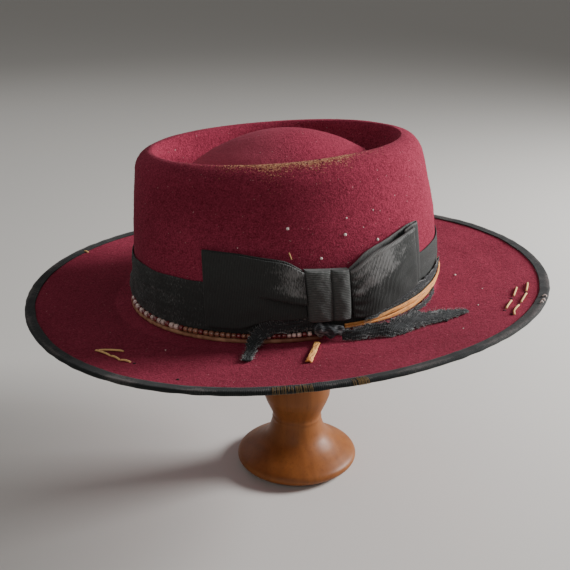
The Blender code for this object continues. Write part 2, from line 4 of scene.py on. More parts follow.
import bpy
import numpy as np
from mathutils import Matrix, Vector

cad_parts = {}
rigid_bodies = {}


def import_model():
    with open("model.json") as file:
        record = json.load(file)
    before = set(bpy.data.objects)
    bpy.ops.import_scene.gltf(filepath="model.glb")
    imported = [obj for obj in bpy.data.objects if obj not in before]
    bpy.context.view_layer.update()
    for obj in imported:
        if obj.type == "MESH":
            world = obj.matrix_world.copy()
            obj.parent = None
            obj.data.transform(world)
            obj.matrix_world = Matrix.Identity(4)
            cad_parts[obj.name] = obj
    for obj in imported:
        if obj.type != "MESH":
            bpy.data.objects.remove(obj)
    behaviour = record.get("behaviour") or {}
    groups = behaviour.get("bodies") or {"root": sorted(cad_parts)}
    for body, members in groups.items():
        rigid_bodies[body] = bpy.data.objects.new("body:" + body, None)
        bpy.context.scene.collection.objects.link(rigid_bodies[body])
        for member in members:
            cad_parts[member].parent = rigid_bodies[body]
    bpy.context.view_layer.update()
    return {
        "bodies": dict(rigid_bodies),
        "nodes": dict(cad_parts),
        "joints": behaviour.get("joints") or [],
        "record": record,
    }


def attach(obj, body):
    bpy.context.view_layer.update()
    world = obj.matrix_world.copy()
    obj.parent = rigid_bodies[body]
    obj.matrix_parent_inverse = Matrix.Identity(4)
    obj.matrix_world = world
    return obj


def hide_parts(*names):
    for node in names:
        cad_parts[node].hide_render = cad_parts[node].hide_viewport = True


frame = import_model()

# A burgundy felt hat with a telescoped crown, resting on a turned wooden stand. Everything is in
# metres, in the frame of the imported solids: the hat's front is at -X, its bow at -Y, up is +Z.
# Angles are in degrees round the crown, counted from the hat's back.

# The hat's sizes, the same as those of its solids.
hat = {
    "felt": 0.0016,
    "crownLength": 0.2056,
    "crownWidth": 0.1730,
    "crownHeight": 0.0989,
    "tipLength": 0.1811,
    "tipWidth": 0.1311,
    "tipShift": -0.0039,
    "wallCurve": 1.6,
    "fillet": 0.0030,
    "rimInset": 0.0097,
    "rimDrop": 0.0100,
    "grooveDepth": 0.0200,
    "domeLength": 0.1380,
    "domeWidth": 0.0880,
    "domeRise": 0.0271,
    "brimLength": 0.3424,
    "brimWidth": 0.3096,
    "brimLift": 0.0055,
    "brimCurl": 1.5,
    "brimWaves": ((0, 1.0, 0.0), (1, 0.02, -0.21), (2, 0.06, -0.22), (3, -0.06, 0.25)),
    "gap": 0.0003,
    "bandTop": 0.0355,
    "bandThickness": 0.0010,
    "pinchDepth": 0.0042,
    "pinchCentre": -18.0,
    "pinchWidth": 40.0,
    "pinchHeight": 0.052,
    "brimLevel": 0.1366,
    "forward": 0.0054,
    "pitch": 2.28,
    "roll": 1.34,
}
overBand = 2 * hat["gap"] + hat["bandThickness"]


# The crown's outside is an oval that narrows with the height to the power of wallCurve.
def crownOval(height):
    taper = np.clip(height / hat["crownHeight"], 0, 1) ** hat["wallCurve"]
    halfLength = (hat["crownLength"] + (hat["tipLength"] - hat["crownLength"]) * taper) / 2
    halfWidth = (hat["crownWidth"] + (hat["tipWidth"] - hat["crownWidth"]) * taper) / 2
    return halfLength, halfWidth, hat["tipShift"] * taper


# The brim's width blends from the one ahead to the one aside with the cosine's square.
def brimReach(theta):
    ahead = (hat["brimLength"] - hat["crownLength"]) / 2
    aside = (hat["brimWidth"] - hat["crownWidth"]) / 2
    return ahead * np.cos(np.radians(theta)) ** 2 + aside * np.sin(np.radians(theta)) ** 2


# The brim rises outwards with its share to the power of brimCurl, times a few waves in the angle.
def brimRise(theta, share):
    angle = np.radians(theta)
    waves = sum(c * np.cos(n * angle) + s * np.sin(n * angle) for n, c, s in hat["brimWaves"])
    return hat["brimLift"] * waves * np.clip(share, 0, None) ** hat["brimCurl"]


# How far two angles are apart, the short way round.
def turnBetween(theta, other):
    return np.abs((theta - other + 180) % 360 - 180)


# A bell: 1 where the distance is nothing, 1/e where it is the width.
def bell(distance, width):
    return np.exp(-(distance / width) ** 2)


# The crown's foot is drawn in at the back right, most at the brim and no more above pinchHeight.
def footPinch(theta, up):
    around = bell(turnBetween(theta, hat["pinchCentre"]), hat["pinchWidth"])
    return hat["pinchDepth"] * around * np.clip(1 - up / hat["pinchHeight"], 0, 1)


# Points at an angle, a distance out from the crown's wall and up from the brim.
def onHat(theta, out, up):
    theta, out, up = np.broadcast_arrays(theta, out, up)
    halfLength, halfWidth, centre = crownOval(up)
    drawn = out - footPinch(theta, up) * np.clip(1 - out / 0.02, 0, 1)
    x = centre + (halfLength + drawn) * np.cos(np.radians(theta))
    y = (halfWidth + drawn) * np.sin(np.radians(theta))
    return np.stack([x, y, up + brimRise(theta, out / brimReach(theta))], -1)


# Points over the brim's upper side, a share of the way from the crown's foot to the edge.
def onBrim(theta, share, lift=0.0):
    theta, share, lift = np.broadcast_arrays(theta, share, lift)
    drawn = footPinch(theta, 0.0) * np.clip(1 - share, 0, 1) ** 3
    halfLength = (hat["crownLength"] + (hat["brimLength"] - hat["crownLength"]) * share) / 2 - drawn
    halfWidth = (hat["crownWidth"] + (hat["brimWidth"] - hat["crownWidth"]) * share) / 2 - drawn
    angle = np.radians(theta)
    x, y = halfLength * np.cos(angle), halfWidth * np.sin(angle)
    return np.stack([x, y, lift + brimRise(theta, share)], -1)


# From the hat's own frame to the row's: pitch about Y, roll about X, then the shift on the stand.
def toRow(points):
    pitch, roll = np.radians(-hat["pitch"]), np.radians(hat["roll"])
    aboutY = np.array([[np.cos(pitch), 0, np.sin(pitch)], [0, 1, 0], [-np.sin(pitch), 0, np.cos(pitch)]])
    aboutX = np.array([[1, 0, 0], [0, np.cos(roll), -np.sin(roll)], [0, np.sin(roll), np.cos(roll)]])
    return points @ (aboutX @ aboutY).T + np.array([-hat["forward"], 0, hat["brimLevel"]])


# Directions at places of the hat's frame, turned to the row's.
def turnToRow(places, directions):
    return toRow(places + directions) - toRow(places)


# A Catmull-Rom curve through the rows of a table, read at the given places, column by column.
def smoothRows(rows, places):
    rows = np.array(rows, float)
    padded = np.vstack([2 * rows[0] - rows[1], rows, 2 * rows[-1] - rows[-2]])
    places = np.asarray(places) * (len(rows) - 1)
    start = np.clip(places.astype(int), 0, len(rows) - 2)
    t = (places - start)[..., None]
    p0, p1, p2, p3 = (padded[start + k] for k in range(4))
    bend = 2 * p0 - 5 * p1 + 4 * p2 - p3
    return 0.5 * (2 * p1 + (p2 - p0) * t + bend * t**2 + (3 * p1 - p0 - 3 * p2 + p3) * t**3)


# The same curve, read at values of the table's first column instead.
def readRows(rows, values):
    fine = smoothRows(rows, np.linspace(0, 1, 400))
    return [np.interp(values, fine[:, 0], fine[:, k]) for k in range(1, fine.shape[1])]


# Angles spread evenly round a circle, in radians.
def circle(count):
    return np.linspace(0, 2 * np.pi, count, endpoint=False)


def unit(vectors):
    return vectors / np.maximum(np.linalg.norm(vectors, axis=-1, keepdims=True), 1e-12)


# A sum of cosines of two parameters with seeded directions and phases, about -1 to 1 in all.
def ripple(seed, u, v, waves, fineness):
    rng = np.random.default_rng(seed)
    total = 0.0
    for step in range(waves):
        alongU = rng.integers(-fineness, fineness + 1)
        alongV = rng.uniform(-fineness, fineness)
        total = total + np.cos(2 * np.pi * (alongU * u + alongV * v) + rng.uniform(0, 2 * np.pi))
    return total / math.sqrt(waves)


# 0 below low, 1 above high, and three squares less two cubes of the share between.
def smoothStep(value, low, high):
    t = np.clip((value - low) / (high - low), 0, 1)
    return t * t * (3 - 2 * t)


# Puts points and faces into a mesh, turned so that the signed volume is positive: faces outward.
def makeMesh(name, points, faces, uv=None, attributes=None):
    quads, tris = (
        np.concatenate([np.zeros((0, corners), int)] + [f for f in faces if f.shape[1] == corners])
        for corners in (4, 3)
    )
    split = np.concatenate([quads[:, [0, 1, 2]], quads[:, [0, 2, 3]], tris])
    a, b, c = (points[split[:, k]] - points.mean(0) for k in range(3))
    if (a * np.cross(b, c)).sum() < 0:
        quads, tris = quads[:, ::-1], tris[:, ::-1]
    mesh = bpy.data.meshes.new(name)
    mesh.vertices.add(len(points))
    mesh.vertices.foreach_set("co", points.astype(np.float32).ravel())
    loops = np.concatenate([quads.ravel(), tris.ravel()])
    starts = np.concatenate([np.arange(len(quads)) * 4, len(quads) * 4 + np.arange(len(tris)) * 3])
    mesh.loops.add(len(loops))
    mesh.loops.foreach_set("vertex_index", loops)
    mesh.polygons.add(len(starts))
    mesh.polygons.foreach_set("loop_start", starts)
    mesh.update(calc_edges=True)
    mesh.validate()
    mesh.shade_smooth()
    if uv is not None:
        layer = mesh.uv_layers.new(name="cloth")
        layer.uv.foreach_set("vector", uv[loops].astype(np.float32).ravel())
    for key, values in (attributes or {}).items():
        if values.ndim == 1:
            layer = mesh.attributes.new(key, "FLOAT", "POINT")
            layer.data.foreach_set("value", values.astype(np.float32))
        else:
            layer = mesh.attributes.new(key, "FLOAT_COLOR", "POINT")
            colour = np.concatenate([values, np.ones((len(values), 1))], 1)
            layer.data.foreach_set("color", colour.astype(np.float32).ravel())
    return mesh


def addPiece(name, mesh, finish, slot, *nodes):
    item = bpy.data.objects.new(name, mesh)
    bpy.context.scene.collection.objects.link(item)
    mesh.materials.append(finish)
    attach(item, "root")
    if nodes:
        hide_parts(*nodes)
    return item


# Quads between neighbours on a grid of rows and columns, which may close on itself either way.
def gridFaces(rows, cols, closeRows=False, closeCols=False):
    i, j = np.meshgrid(np.arange(rows - (not closeRows)), np.arange(cols - (not closeCols)), indexing="ij")
    below, right = (i + 1) % rows, (j + 1) % cols
    corners = [i * cols + j, i * cols + right, below * cols + right, below * cols + j]
    return np.stack(corners, -1).reshape(-1, 4)


# Fans from the first and the last ring of a grid to the two points that follow it.
def poleFans(rows, around):
    turn = np.arange(around)
    after = (turn + 1) % around
    last, pole = (rows - 1) * around, np.full(around, rows * around)
    first = np.stack([turn, after, pole], 1)[:, ::-1]
    return [first, np.stack([last + turn, last + after, pole + 1], 1)]


# A skin over rings of points, closed round each ring, with a fan to one point at each end.
def ringMesh(name, rings, startPole, endPole, attributes=None):
    count, around = rings.shape[:2]
    points = np.concatenate([rings.reshape(-1, 3), [startPole, endPole]])
    made = {
        key: np.concatenate([value.ravel(), value[0].mean(keepdims=True), value[-1].mean(keepdims=True)])
        for key, value in (attributes or {}).items()
    }
    faces = [gridFaces(count, around, False, True), *poleFans(count, around)]
    return makeMesh(name, points, faces, None, made)


# The faces of a strip: quads along it, and at an open end quads across the section, from a point
# to the one that faces it.
def stripFaces(count, around, closed=False):
    faces = [gridFaces(count, around, closed, True)]
    if not closed:
        k = np.arange(around // 2 - 1)
        cap = np.stack([k, k + 1, around - 2 - k, around - 1 - k], 1)
        faces += [cap[:, ::-1], cap + (count - 1) * around]
    return faces


# A strip made of closed sections, one after the other.
def stripMesh(name, sections, uv=None, closed=False, attributes=None):
    faces = stripFaces(*sections.shape[:2], closed)
    flat = {key: value.ravel() for key, value in (attributes or {}).items()}
    return makeMesh(name, sections.reshape(-1, 3), faces, None if uv is None else uv.reshape(-1, 2), flat)


# A cloth of one thickness: its front and back lie half of it off the middle surface, along the
# surface's normal, the cross product of its two directions.
def clothSections(middle, thickness, closed=False):
    if closed:
        along = np.roll(middle, -1, 0) - np.roll(middle, 1, 0)
    else:
        along = np.gradient(middle, axis=0)
    normal = unit(np.cross(along, np.gradient(middle, axis=1)))
    half = np.full(middle.shape[1], thickness / 2)
    half[[0, -1]] *= 0.55
    front = middle + normal * half[:, None]
    back = middle - normal * half[:, None]
    return np.concatenate([front, back[:, ::-1]], 1)


# What holds on the front of a cloth holds on its back too, whose points run the other way.
def bothSides(front):
    return np.concatenate([front, front[:, ::-1]], 1)


# A cloth's own coordinates: metres along it and across it.
def stripUv(along, across):
    return np.stack(np.meshgrid(along, across, indexing="ij"), -1)


# The length of a path from its start to each of its points.
def pathLength(points):
    steps = np.linalg.norm(np.diff(points, axis=0), axis=1)
    return np.concatenate([[0], np.cumsum(steps)])


# A round tube: circles about a path, in the frame of its tangent and a given side direction.
def tubeSections(path, radius, side, sides=10):
    along = unit(np.gradient(path, axis=0))
    side = unit(side - along * (side * along).sum(-1, keepdims=True))
    other = np.cross(along, side)
    turn = circle(sides)
    radius = np.broadcast_to(radius, (len(path),))[:, None, None]
    ring = side[:, None] * np.cos(turn)[:, None] + other[:, None] * np.sin(turn)[:, None]
    return path[:, None] + radius * ring


# Copies of one small shape: each copy's points are turned by its three axes and moved to its place.
def scatterMesh(name, shape, faces, places, axes, attributes=None):
    points = np.einsum("nj,cjk->cnk", shape, axes) + places[:, None]
    shift = np.arange(len(places))[:, None, None] * len(shape)
    spread = {key: np.repeat(value, len(shape), axis=0) for key, value in (attributes or {}).items()}
    copied = [(f[None] + shift).reshape(-1, f.shape[1]) for f in faces]
    return makeMesh(name, points.reshape(-1, 3), copied, None, spread)


# Thin pointed hairs: each runs from a root along a direction and bends towards a second one with
# the square of its length. Three sides, two segments and a tip.
def hairMesh(name, roots, directions, bends, lengths, radius):
    side = unit(np.cross(directions, bends + 1e-3))
    other = unit(np.cross(directions, side))
    rings = []
    for share, width in ((0.0, 1.0), (0.45, 0.85)):
        centre = roots + lengths[:, None] * (directions * share + bends * share**2)
        for turn in (0.0, 2.0944, 4.1888):
            rings.append(centre + radius * width * (side * math.cos(turn) + other * math.sin(turn)))
    rings.append(roots + lengths[:, None] * (directions + bends))
    points = np.stack(rings, 1)
    quads = np.array([(0, 1, 4, 3), (1, 2, 5, 4), (2, 0, 3, 5)])
    tris = np.array([(2, 1, 0), (3, 4, 6), (4, 5, 6), (5, 3, 6)])
    shift = np.arange(len(roots))[:, None, None] * points.shape[1]
    faces = [(quads[None] + shift).reshape(-1, 4), (tris[None] + shift).reshape(-1, 3)]
    return makeMesh(name, points.reshape(-1, 3), faces)


print("helpers ready")


# One output of a shader node. An operator on it adds a Math node, so 1 - wire works too.
class Wire:
    def __init__(self, tree, output):
        self.tree = tree
        self.output = output

    def join(self, operation, first, second):
        node = self.tree.nodes.new("ShaderNodeMath")
        node.operation = operation
        plug(self.tree, node.inputs[0], first)
        plug(self.tree, node.inputs[1], second)
        return Wire(self.tree, node.outputs[0])

    def __add__(self, other):
        return self.join("ADD", self, other)

    def __radd__(self, other):
        return self.join("ADD", other, self)

    def __sub__(self, other):
        return self.join("SUBTRACT", self, other)

    def __rsub__(self, other):
        return self.join("SUBTRACT", other, self)

    def __mul__(self, other):
        return self.join("MULTIPLY", self, other)


def plug(tree, socket, value):
    if isinstance(value, Wire):
        tree.links.new(value.output, socket)
    else:
        socket.default_value = value


# A material under construction.
class Finish:
    def __init__(self, name, **settings):
        self.material = bpy.data.materials.new(name)
        self.material.use_nodes = True
        self.tree = self.material.node_tree
        self.shader = self.tree.nodes["Principled BSDF"]
        for key, value in settings.items():
            self.set(key, value)

    def set(self, key, value):
        names = {
            "color": "Base Color",
            "roughness": "Roughness",
            "specular": "Specular IOR Level",
            "coat": "Coat Weight",
            "coatRoughness": "Coat Roughness",
            "sheen": "Sheen Weight",
            "sheenRoughness": "Sheen Roughness",
            "sheenTint": "Sheen Tint",
            "normal": "Normal",
        }
        plug(self.tree, self.shader.inputs[names[key]], value)

    # A node of a type: its settings first, then its sockets' values or links. Returns one output.
    def node(self, kind, settings=None, values=None, output=0):
        node = self.tree.nodes.new("ShaderNode" + kind)
        for key, value in (settings or {}).items():
            setattr(node, key, value)
        for key, value in (values or {}).items():
            plug(self.tree, node.inputs[key], value)
        return Wire(self.tree, node.outputs[output])

    def place(self):
        return self.node("TexCoord", output="Object")

    def cloth(self):
        flat = self.node("SeparateXYZ", None, {0: self.node("UVMap", {"uv_map": "cloth"})})
        return flat, Wire(self.tree, flat.output.node.outputs[1])

    def attribute(self, name, output="Fac"):
        return self.node("Attribute", {"attribute_name": name}, None, output)

    def noise(self, vector, scale, detail=3.0, roughness=0.5):
        values = {"Vector": vector, "Scale": scale, "Detail": detail, "Roughness": roughness}
        return self.node("TexNoise", None, values)

    def stretched(self, vector, scale):
        return self.node("Mapping", None, {"Vector": vector, "Scale": scale})

    # 0 below low, 1 above high, smooth between.
    def step(self, value, low, high):
        return self.node("MapRange", {"interpolation_type": "SMOOTHSTEP"}, {0: value, 1: low, 2: high})

    def mix(self, factor, first, second):
        colours = [c if isinstance(c, Wire) else (*c, 1.0) for c in (first, second)]
        return self.node("Mix", {"data_type": "RGBA"}, {0: factor, 6: colours[0], 7: colours[1]}, 2)

    def bump(self, height, distance, strength):
        return self.node("Bump", None, {"Height": height, "Distance": distance, "Strength": strength})

    # Ridges across a coordinate, 0 in the grooves and 1 on the ribs.
    def ribs(self, coordinate, pitch):
        wave = self.node("Math", {"operation": "SINE"}, {0: coordinate * (2 * math.pi / pitch)})
        return wave * 0.5 + 0.5


photoCamera = {
    "place": (-0.1727, -0.5359, 0.3477),
    "forward": (0.2735, 0.8947, -0.3532),
    "lens": 56.11,
    "sensor": 36.0,
}


def aim(item, direction):
    item.rotation_mode = "QUATERNION"
    item.rotation_quaternion = Vector(direction).to_track_quat("-Z", "Y")
    bpy.context.scene.collection.objects.link(item)


def addCamera():
    camera = bpy.data.cameras.new("photoCamera")
    camera.lens = photoCamera["lens"]
    camera.sensor_width = photoCamera["sensor"]
    item = bpy.data.objects.new("photoCamera", camera)
    item.location = photoCamera["place"]
    aim(item, photoCamera["forward"])
    bpy.context.scene.camera = item


addCamera()
print("camera ready")

studio = {
    "floorSize": 8.0,
    "floorColour": (0.62, 0.60, 0.57),
    "key": ((1.34, -0.06, 0.70), 0.50, 44.0),
    "fill": ((-0.9, -1.6, 1.0), 1.6, 5.0),
    "back": ((-0.5, 1.5, 1.3), 1.2, 4.0),
    "ambient": 0.20,
    "ambientColour": (1.0, 0.98, 0.95, 1),
    "aimedAt": (0, 0, 0.17),
}


def addStudio():
    half = studio["floorSize"]
    corners = [(-half, -half, 0), (half, -half, 0), (half, half, 0), (-half, half, 0)]
    mesh = bpy.data.meshes.new("floor")
    mesh.from_pydata(corners, [], [(0, 1, 2, 3)])
    floor = bpy.data.objects.new("floor", mesh)
    bpy.context.scene.collection.objects.link(floor)
    mesh.materials.append(Finish("floor", color=(*studio["floorColour"], 1), roughness=0.9).material)
    for name in ("key", "fill", "back"):
        place, size, power = studio[name]
        light = bpy.data.lights.new(name, "AREA")
        light.size = size
        light.energy = power
        item = bpy.data.objects.new(name, light)
        item.location = place
        aim(item, Vector(studio["aimedAt"]) - Vector(place))
    world = bpy.data.worlds.new("studio")
    world.use_nodes = True
    sky = world.node_tree.nodes["Background"].inputs
    sky["Color"].default_value = studio["ambientColour"]
    sky["Strength"].default_value = studio["ambient"]
    bpy.context.scene.world = world


addStudio()
print("floor and lights ready")

feltLook = {
    "around": 288,
    "dark": (0.120, 0.011, 0.022),
    "bright": (0.430, 0.058, 0.104),
    "worn": (0.620, 0.370, 0.185),
    "wornUnder": (0.300, 0.110, 0.055),
    "pit": (0.020, 0.002, 0.004),
    "dust": (0.620, 0.400, 0.380),
    # The paler colour painted on the dome's front as painted light.
    "paintedDomeLight": (0.520, 0.110, 0.160),
    "sheenTint": (1.0, 0.34, 0.44, 1),
    "wornAt": -97,
    "wornBelow": 0.0064,
    "wornInside": 0.0024,
    "crestBefore": 110,
    "fuzz": 12000,
    "fuzzColour": (0.400, 0.075, 0.115, 1),
    "fuzzLengths": (0.0005, 0.0013),
    "fuzzRadius": 0.00004,
    "dent": 0.0004,
}
grooveRows = ((0.0, 0.0), (0.10, 0.03), (0.28, 0.20), (0.50, 0.58), (0.74, 0.90), (1.0, 1.0))


# The felt's colour runs from dark to bright with three sizes of noise. Over it come soot with painted
# shade on the brim, painted light on the dome's front, golden patches where the wear and a grain pass a
# limit, dark pits between them, and pale flecks.
def feltFinish():
    felt = Finish("felt", roughness=0.95, specular=0.05)
    felt.set("sheen", 0.10)
    felt.set("sheenRoughness", 0.3)
    felt.set("sheenTint", feltLook["sheenTint"])
    spot = felt.place()
    cloud = felt.noise(spot, 22, 4)
    clump = felt.noise(spot, 330, 5, 0.7)
    fibre = felt.noise(spot, 1150, 3, 0.6)
    tone = cloud * 0.35 + clump * 0.45 + fibre * 1.15 - 0.48
    colour = felt.mix(felt.step(tone, 0.05, 0.95), feltLook["dark"], feltLook["bright"])
    wear = felt.attribute("wear")
    sootAndPaintedShade = felt.attribute("sootAndPaintedShade")
    # Soot darkens the wall under the near rim; on the brim this same mark is painted shade.
    colour = felt.mix(sootAndPaintedShade * 0.45, colour, feltLook["dark"])
    # The fade mark is painted light: the dome paler and lighter towards the hat's front.
    colour = felt.mix(felt.attribute("fade") * 0.6, colour, feltLook["paintedDomeLight"])
    grain = felt.noise(spot, 950, 4, 0.75)
    worn = felt.step(grain + wear * 0.24, 0.665, 0.765) * felt.step(wear, 0.03, 0.20)
    gold = felt.mix(felt.step(fibre, 0.35, 0.65), feltLook["wornUnder"], feltLook["worn"])
    colour = felt.mix(worn * 0.9, colour, gold)
    # Pits go deeper with the wear, and with the soot and the brim's painted shade.
    pits = 1 - felt.step(grain, 0.34 + wear * 0.06, 0.43 + wear * 0.06)
    colour = felt.mix(pits * (0.22 + wear * 0.5 + sootAndPaintedShade * 0.55), colour, feltLook["pit"])
    fleck = felt.step(felt.noise(spot, 620, 2), 0.70, 0.78)
    colour = felt.mix(fleck * 0.45, colour, feltLook["dust"])
    felt.set("color", colour)
    felt.set("normal", felt.bump(fibre * 0.6 + clump, 0.00065, 0.85))
    return felt.material


# Rings over the felt's outside from the brim's edge to the dome: the brim between two ovals, a
# quarter round at the foot, the wall, a quarter ellipse over the rim, the groove from its table,
# and the dome, whose height falls with the square of the share of its half-sizes.
def feltRings(theta):
    rings = []
    angle = np.radians(theta)

    def oval(halfLength, halfWidth, height):
        x = hat["tipShift"] + halfLength * np.cos(angle)
        return np.stack([x, halfWidth * np.sin(angle), height + 0 * angle], -1)

    for share in np.linspace(1.0, 0.06, 38):
        rings.append(onBrim(theta, share))
    for turn in np.radians(np.linspace(0, 90, 8)):
        rings.append(onHat(theta, hat["fillet"] * (1 - np.sin(turn)), hat["fillet"] * (1 - np.cos(turn))))
    wallTop = hat["crownHeight"] - hat["rimDrop"]
    for up in np.linspace(hat["fillet"], wallTop, 44)[1:]:
        rings.append(onHat(theta, 0.0, up))
    for turn in np.radians(np.linspace(0, 90, 15))[1:]:
        up = wallTop + hat["rimDrop"] * np.sin(turn)
        rings.append(onHat(theta, -hat["rimInset"] * (1 - np.cos(turn)), up))
    crest = (hat["tipLength"] / 2 - hat["rimInset"], hat["tipWidth"] / 2 - hat["rimInset"])
    dome = (hat["domeLength"] / 2, hat["domeWidth"] / 2)
    inward, down = smoothRows(grooveRows, np.linspace(0, 1, 26)[1:]).T
    for share, depth in zip(inward, down):
        half = [c + (d - c) * share for c, d in zip(crest, dome)]
        rings.append(oval(*half, hat["crownHeight"] - hat["grooveDepth"] * depth))
    bottom = hat["crownHeight"] - hat["grooveDepth"]
    for share in np.linspace(1, 0.02, 30)[1:]:
        rings.append(oval(dome[0] * share, dome[1] * share, bottom + hat["domeRise"] * (1 - share**2)))
    return np.array(rings)


# Softens the crease between the groove and the dome by averaging neighbouring rings a few times.
def softenRings(rings, middle, reach, times):
    rings = rings.copy()
    low, high = middle - reach, middle + reach
    for step in range(times):
        rings[low:high] = (rings[low - 1:high - 1] + 2 * rings[low:high] + rings[low + 1:high + 1]) / 4
    return rings


# What is rubbed, dark or painted on the felt, 0 to 1 at each point of the rings: wear fades from the crest
# with the exponent of the way from it, and soot and fade are bells round their places; soot on the brim is
# painted shade, and fade is painted light on the dome's front.
def feltMarks(theta, row, rings):
    steps = np.linalg.norm(np.gradient(rings, axis=0), axis=-1)
    fromCrest = np.cumsum(steps, axis=0)
    crest = int(np.argmax(rings[:feltLook["crestBefore"], 0, 2]))
    fromCrest = fromCrest - fromCrest[crest]
    near = turnBetween(theta, feltLook["wornAt"])
    worn = np.exp(-(near / 27) ** 4) + 0.42 * np.exp(-(near / 62) ** 4)
    ragged = 1 + 0.5 * ripple(5, theta / 360 + 0 * row, row * 0, 14, 26)
    below = np.exp(-np.clip(-fromCrest, 0, None) / (feltLook["wornBelow"] * ragged))
    inside = np.exp(-np.clip(fromCrest, 0, None) / feltLook["wornInside"])
    wear = np.clip(worn * np.minimum(below, inside) * 1.10, 0, 1)
    height = rings[..., 2]
    # Soot on the wall under the near rim. On the brim the mark is painted shade: darker beside the bow, and
    # at the hat's front where the crown's shadow falls.
    sootAndPaintedShade = bell(turnBetween(theta, -128), 40) * bell(height - 0.084, 0.016) * (row < 0.72)
    brim = row < 0.2
    sootAndPaintedShade = sootAndPaintedShade + brim * 0.60 * bell(near, 46)
    sootAndPaintedShade = sootAndPaintedShade + brim * 0.85 * bell(turnBetween(theta, 172), 42)
    # Fade is painted light over the dome, growing towards the hat's front.
    fade = (row > 0.82) * smoothStep(-rings[..., 0], -0.010, 0.045)
    return {"wear": wear, "sootAndPaintedShade": sootAndPaintedShade, "fade": fade}


# The felt has its wall's thickness under the rings, and shallow dents where the trim leaves it free.
def addFelt():
    theta = np.linspace(-180, 180, feltLook["around"], endpoint=False)
    rings = feltRings(theta)
    rings = softenRings(rings, len(rings) - 30, 5, 12)
    around = np.roll(rings, -1, 1) - np.roll(rings, 1, 1)
    normal = unit(np.cross(around, np.gradient(rings, axis=0)))
    turn, row = np.meshgrid(theta / 360, np.linspace(0, 1, len(rings)))
    brimPart = smoothStep(row, 0.03, 0.10) * (1 - smoothStep(row, 0.15, 0.215))
    free = np.where(row < 0.215, brimPart * 0.35, smoothStep(rings[..., 2], 0.040, 0.055))
    free = free * (1 - smoothStep(row, 0.88, 0.95))
    dents = ripple(3, turn, row * 3, 14, 5) * 0.6 + ripple(4, turn, row * 6, 20, 14) * 0.25
    outer = rings + normal * (dents * free * feltLook["dent"])[..., None]
    inner = (rings - normal * hat["felt"])[::2]
    rows = np.concatenate([inner[::-1], outer])
    marks = feltMarks(theta, row, rings)
    marks = {key: np.concatenate([value[::2][::-1], value]) for key, value in marks.items()}
    pole = np.array([hat["tipShift"], 0, hat["crownHeight"] - hat["grooveDepth"] + hat["domeRise"]])
    mesh = ringMesh("felt", toRow(rows), toRow(pole - [0, 0, hat["felt"]]), toRow(pole), marks)
    addPiece("felt_crown_and_brim", mesh, feltFinish(), "felt", "felt_body")
    addFuzz(outer, normal)


# Loose fibres that stand off the felt, spread evenly over all of it that the trim leaves bare.
def addFuzz(rings, normal):
    rng = np.random.default_rng(17)
    long = np.linalg.norm(np.gradient(rings, axis=0), axis=-1)
    wide = np.linalg.norm(np.roll(rings, -1, 1) - rings, axis=-1)
    area = long * wide
    area[:3] = 0
    area[36:] *= rings[36:, :, 2] > hat["bandTop"] + 0.002
    pick = rng.choice(area.size, feltLook["fuzz"], p=area.ravel() / area.sum())
    away = normal.reshape(-1, 3)[pick]
    spread = rng.normal(0, 0.0004, (len(pick), 3))
    roots = rings.reshape(-1, 3)[pick] + spread - away * (spread * away).sum(1, keepdims=True)
    directions = unit(away + rng.normal(0, 0.8, (len(pick), 3)))
    bends = rng.normal(0, 0.5, (len(pick), 3))
    lengths = rng.uniform(*feltLook["fuzzLengths"], len(pick))
    turned = turnToRow(roots, directions)
    mesh = hairMesh("feltFuzz", toRow(roots), turned, bends, lengths, feltLook["fuzzRadius"])
    fuzz = Finish("feltFuzz", roughness=0.95, specular=0.05, color=feltLook["fuzzColour"])
    addPiece("felt_loose_fibres", mesh, fuzz.material, "felt")


addFelt()
print("felt ready")

bindingLook = {
    "reach": 0.0049,
    "thickness": 0.0003,
    "around": 900,
    "colour": (0.015, 0.017, 0.017),
    "worn": (0.10, 0.088, 0.084),
}


# Ribs across the ribbon and threads drawn out along them, with painted shade in the grooves between the
# ribs and painted light on their crests, rubbed pale where threads, patches and the wear together pass a
# limit.
def ribbonFinish(name, colour, worn, pitch, along=0, wearAmount=0.35, roughness=0.82):
    ribbon = Finish(name, roughness=roughness, sheen=0.10, sheenRoughness=0.4, specular=0.22)
    coordinates = ribbon.cloth()
    spot = ribbon.place()
    wobble = ribbon.noise(spot, 160, 2) * 0.00022
    ribs = ribbon.ribs(coordinates[along] + wobble, pitch)
    stretched = {0: coordinates[along] * 1500, 1: coordinates[1 - along] * 420}
    streaks = ribbon.node("CombineXYZ", None, stretched)
    threads = ribbon.noise(streaks, 1.0, 3, 0.65)
    patches = ribbon.noise(spot, 90, 4, 0.65)
    abrade = ribbon.attribute("wear")
    # The ribs' share of the tone is painted shade in the grooves and painted light on the crests; the
    # threads' share is the cloth's own tone.
    tone = ribbon.mix(ribs * 0.45 + threads * 0.55, [c * 0.45 for c in colour], [c * 1.6 for c in colour])
    rubbed = ribbon.step(patches * 0.30 + threads * 0.70 + ribs * 0.08 + abrade * wearAmount, 0.66, 0.90)
    ribbon.set("color", ribbon.mix(rubbed, tone, worn))
    ribbon.set("normal", ribbon.bump(ribs * 0.5 + threads * 0.9, 0.00028, 0.8))
    return ribbon.material


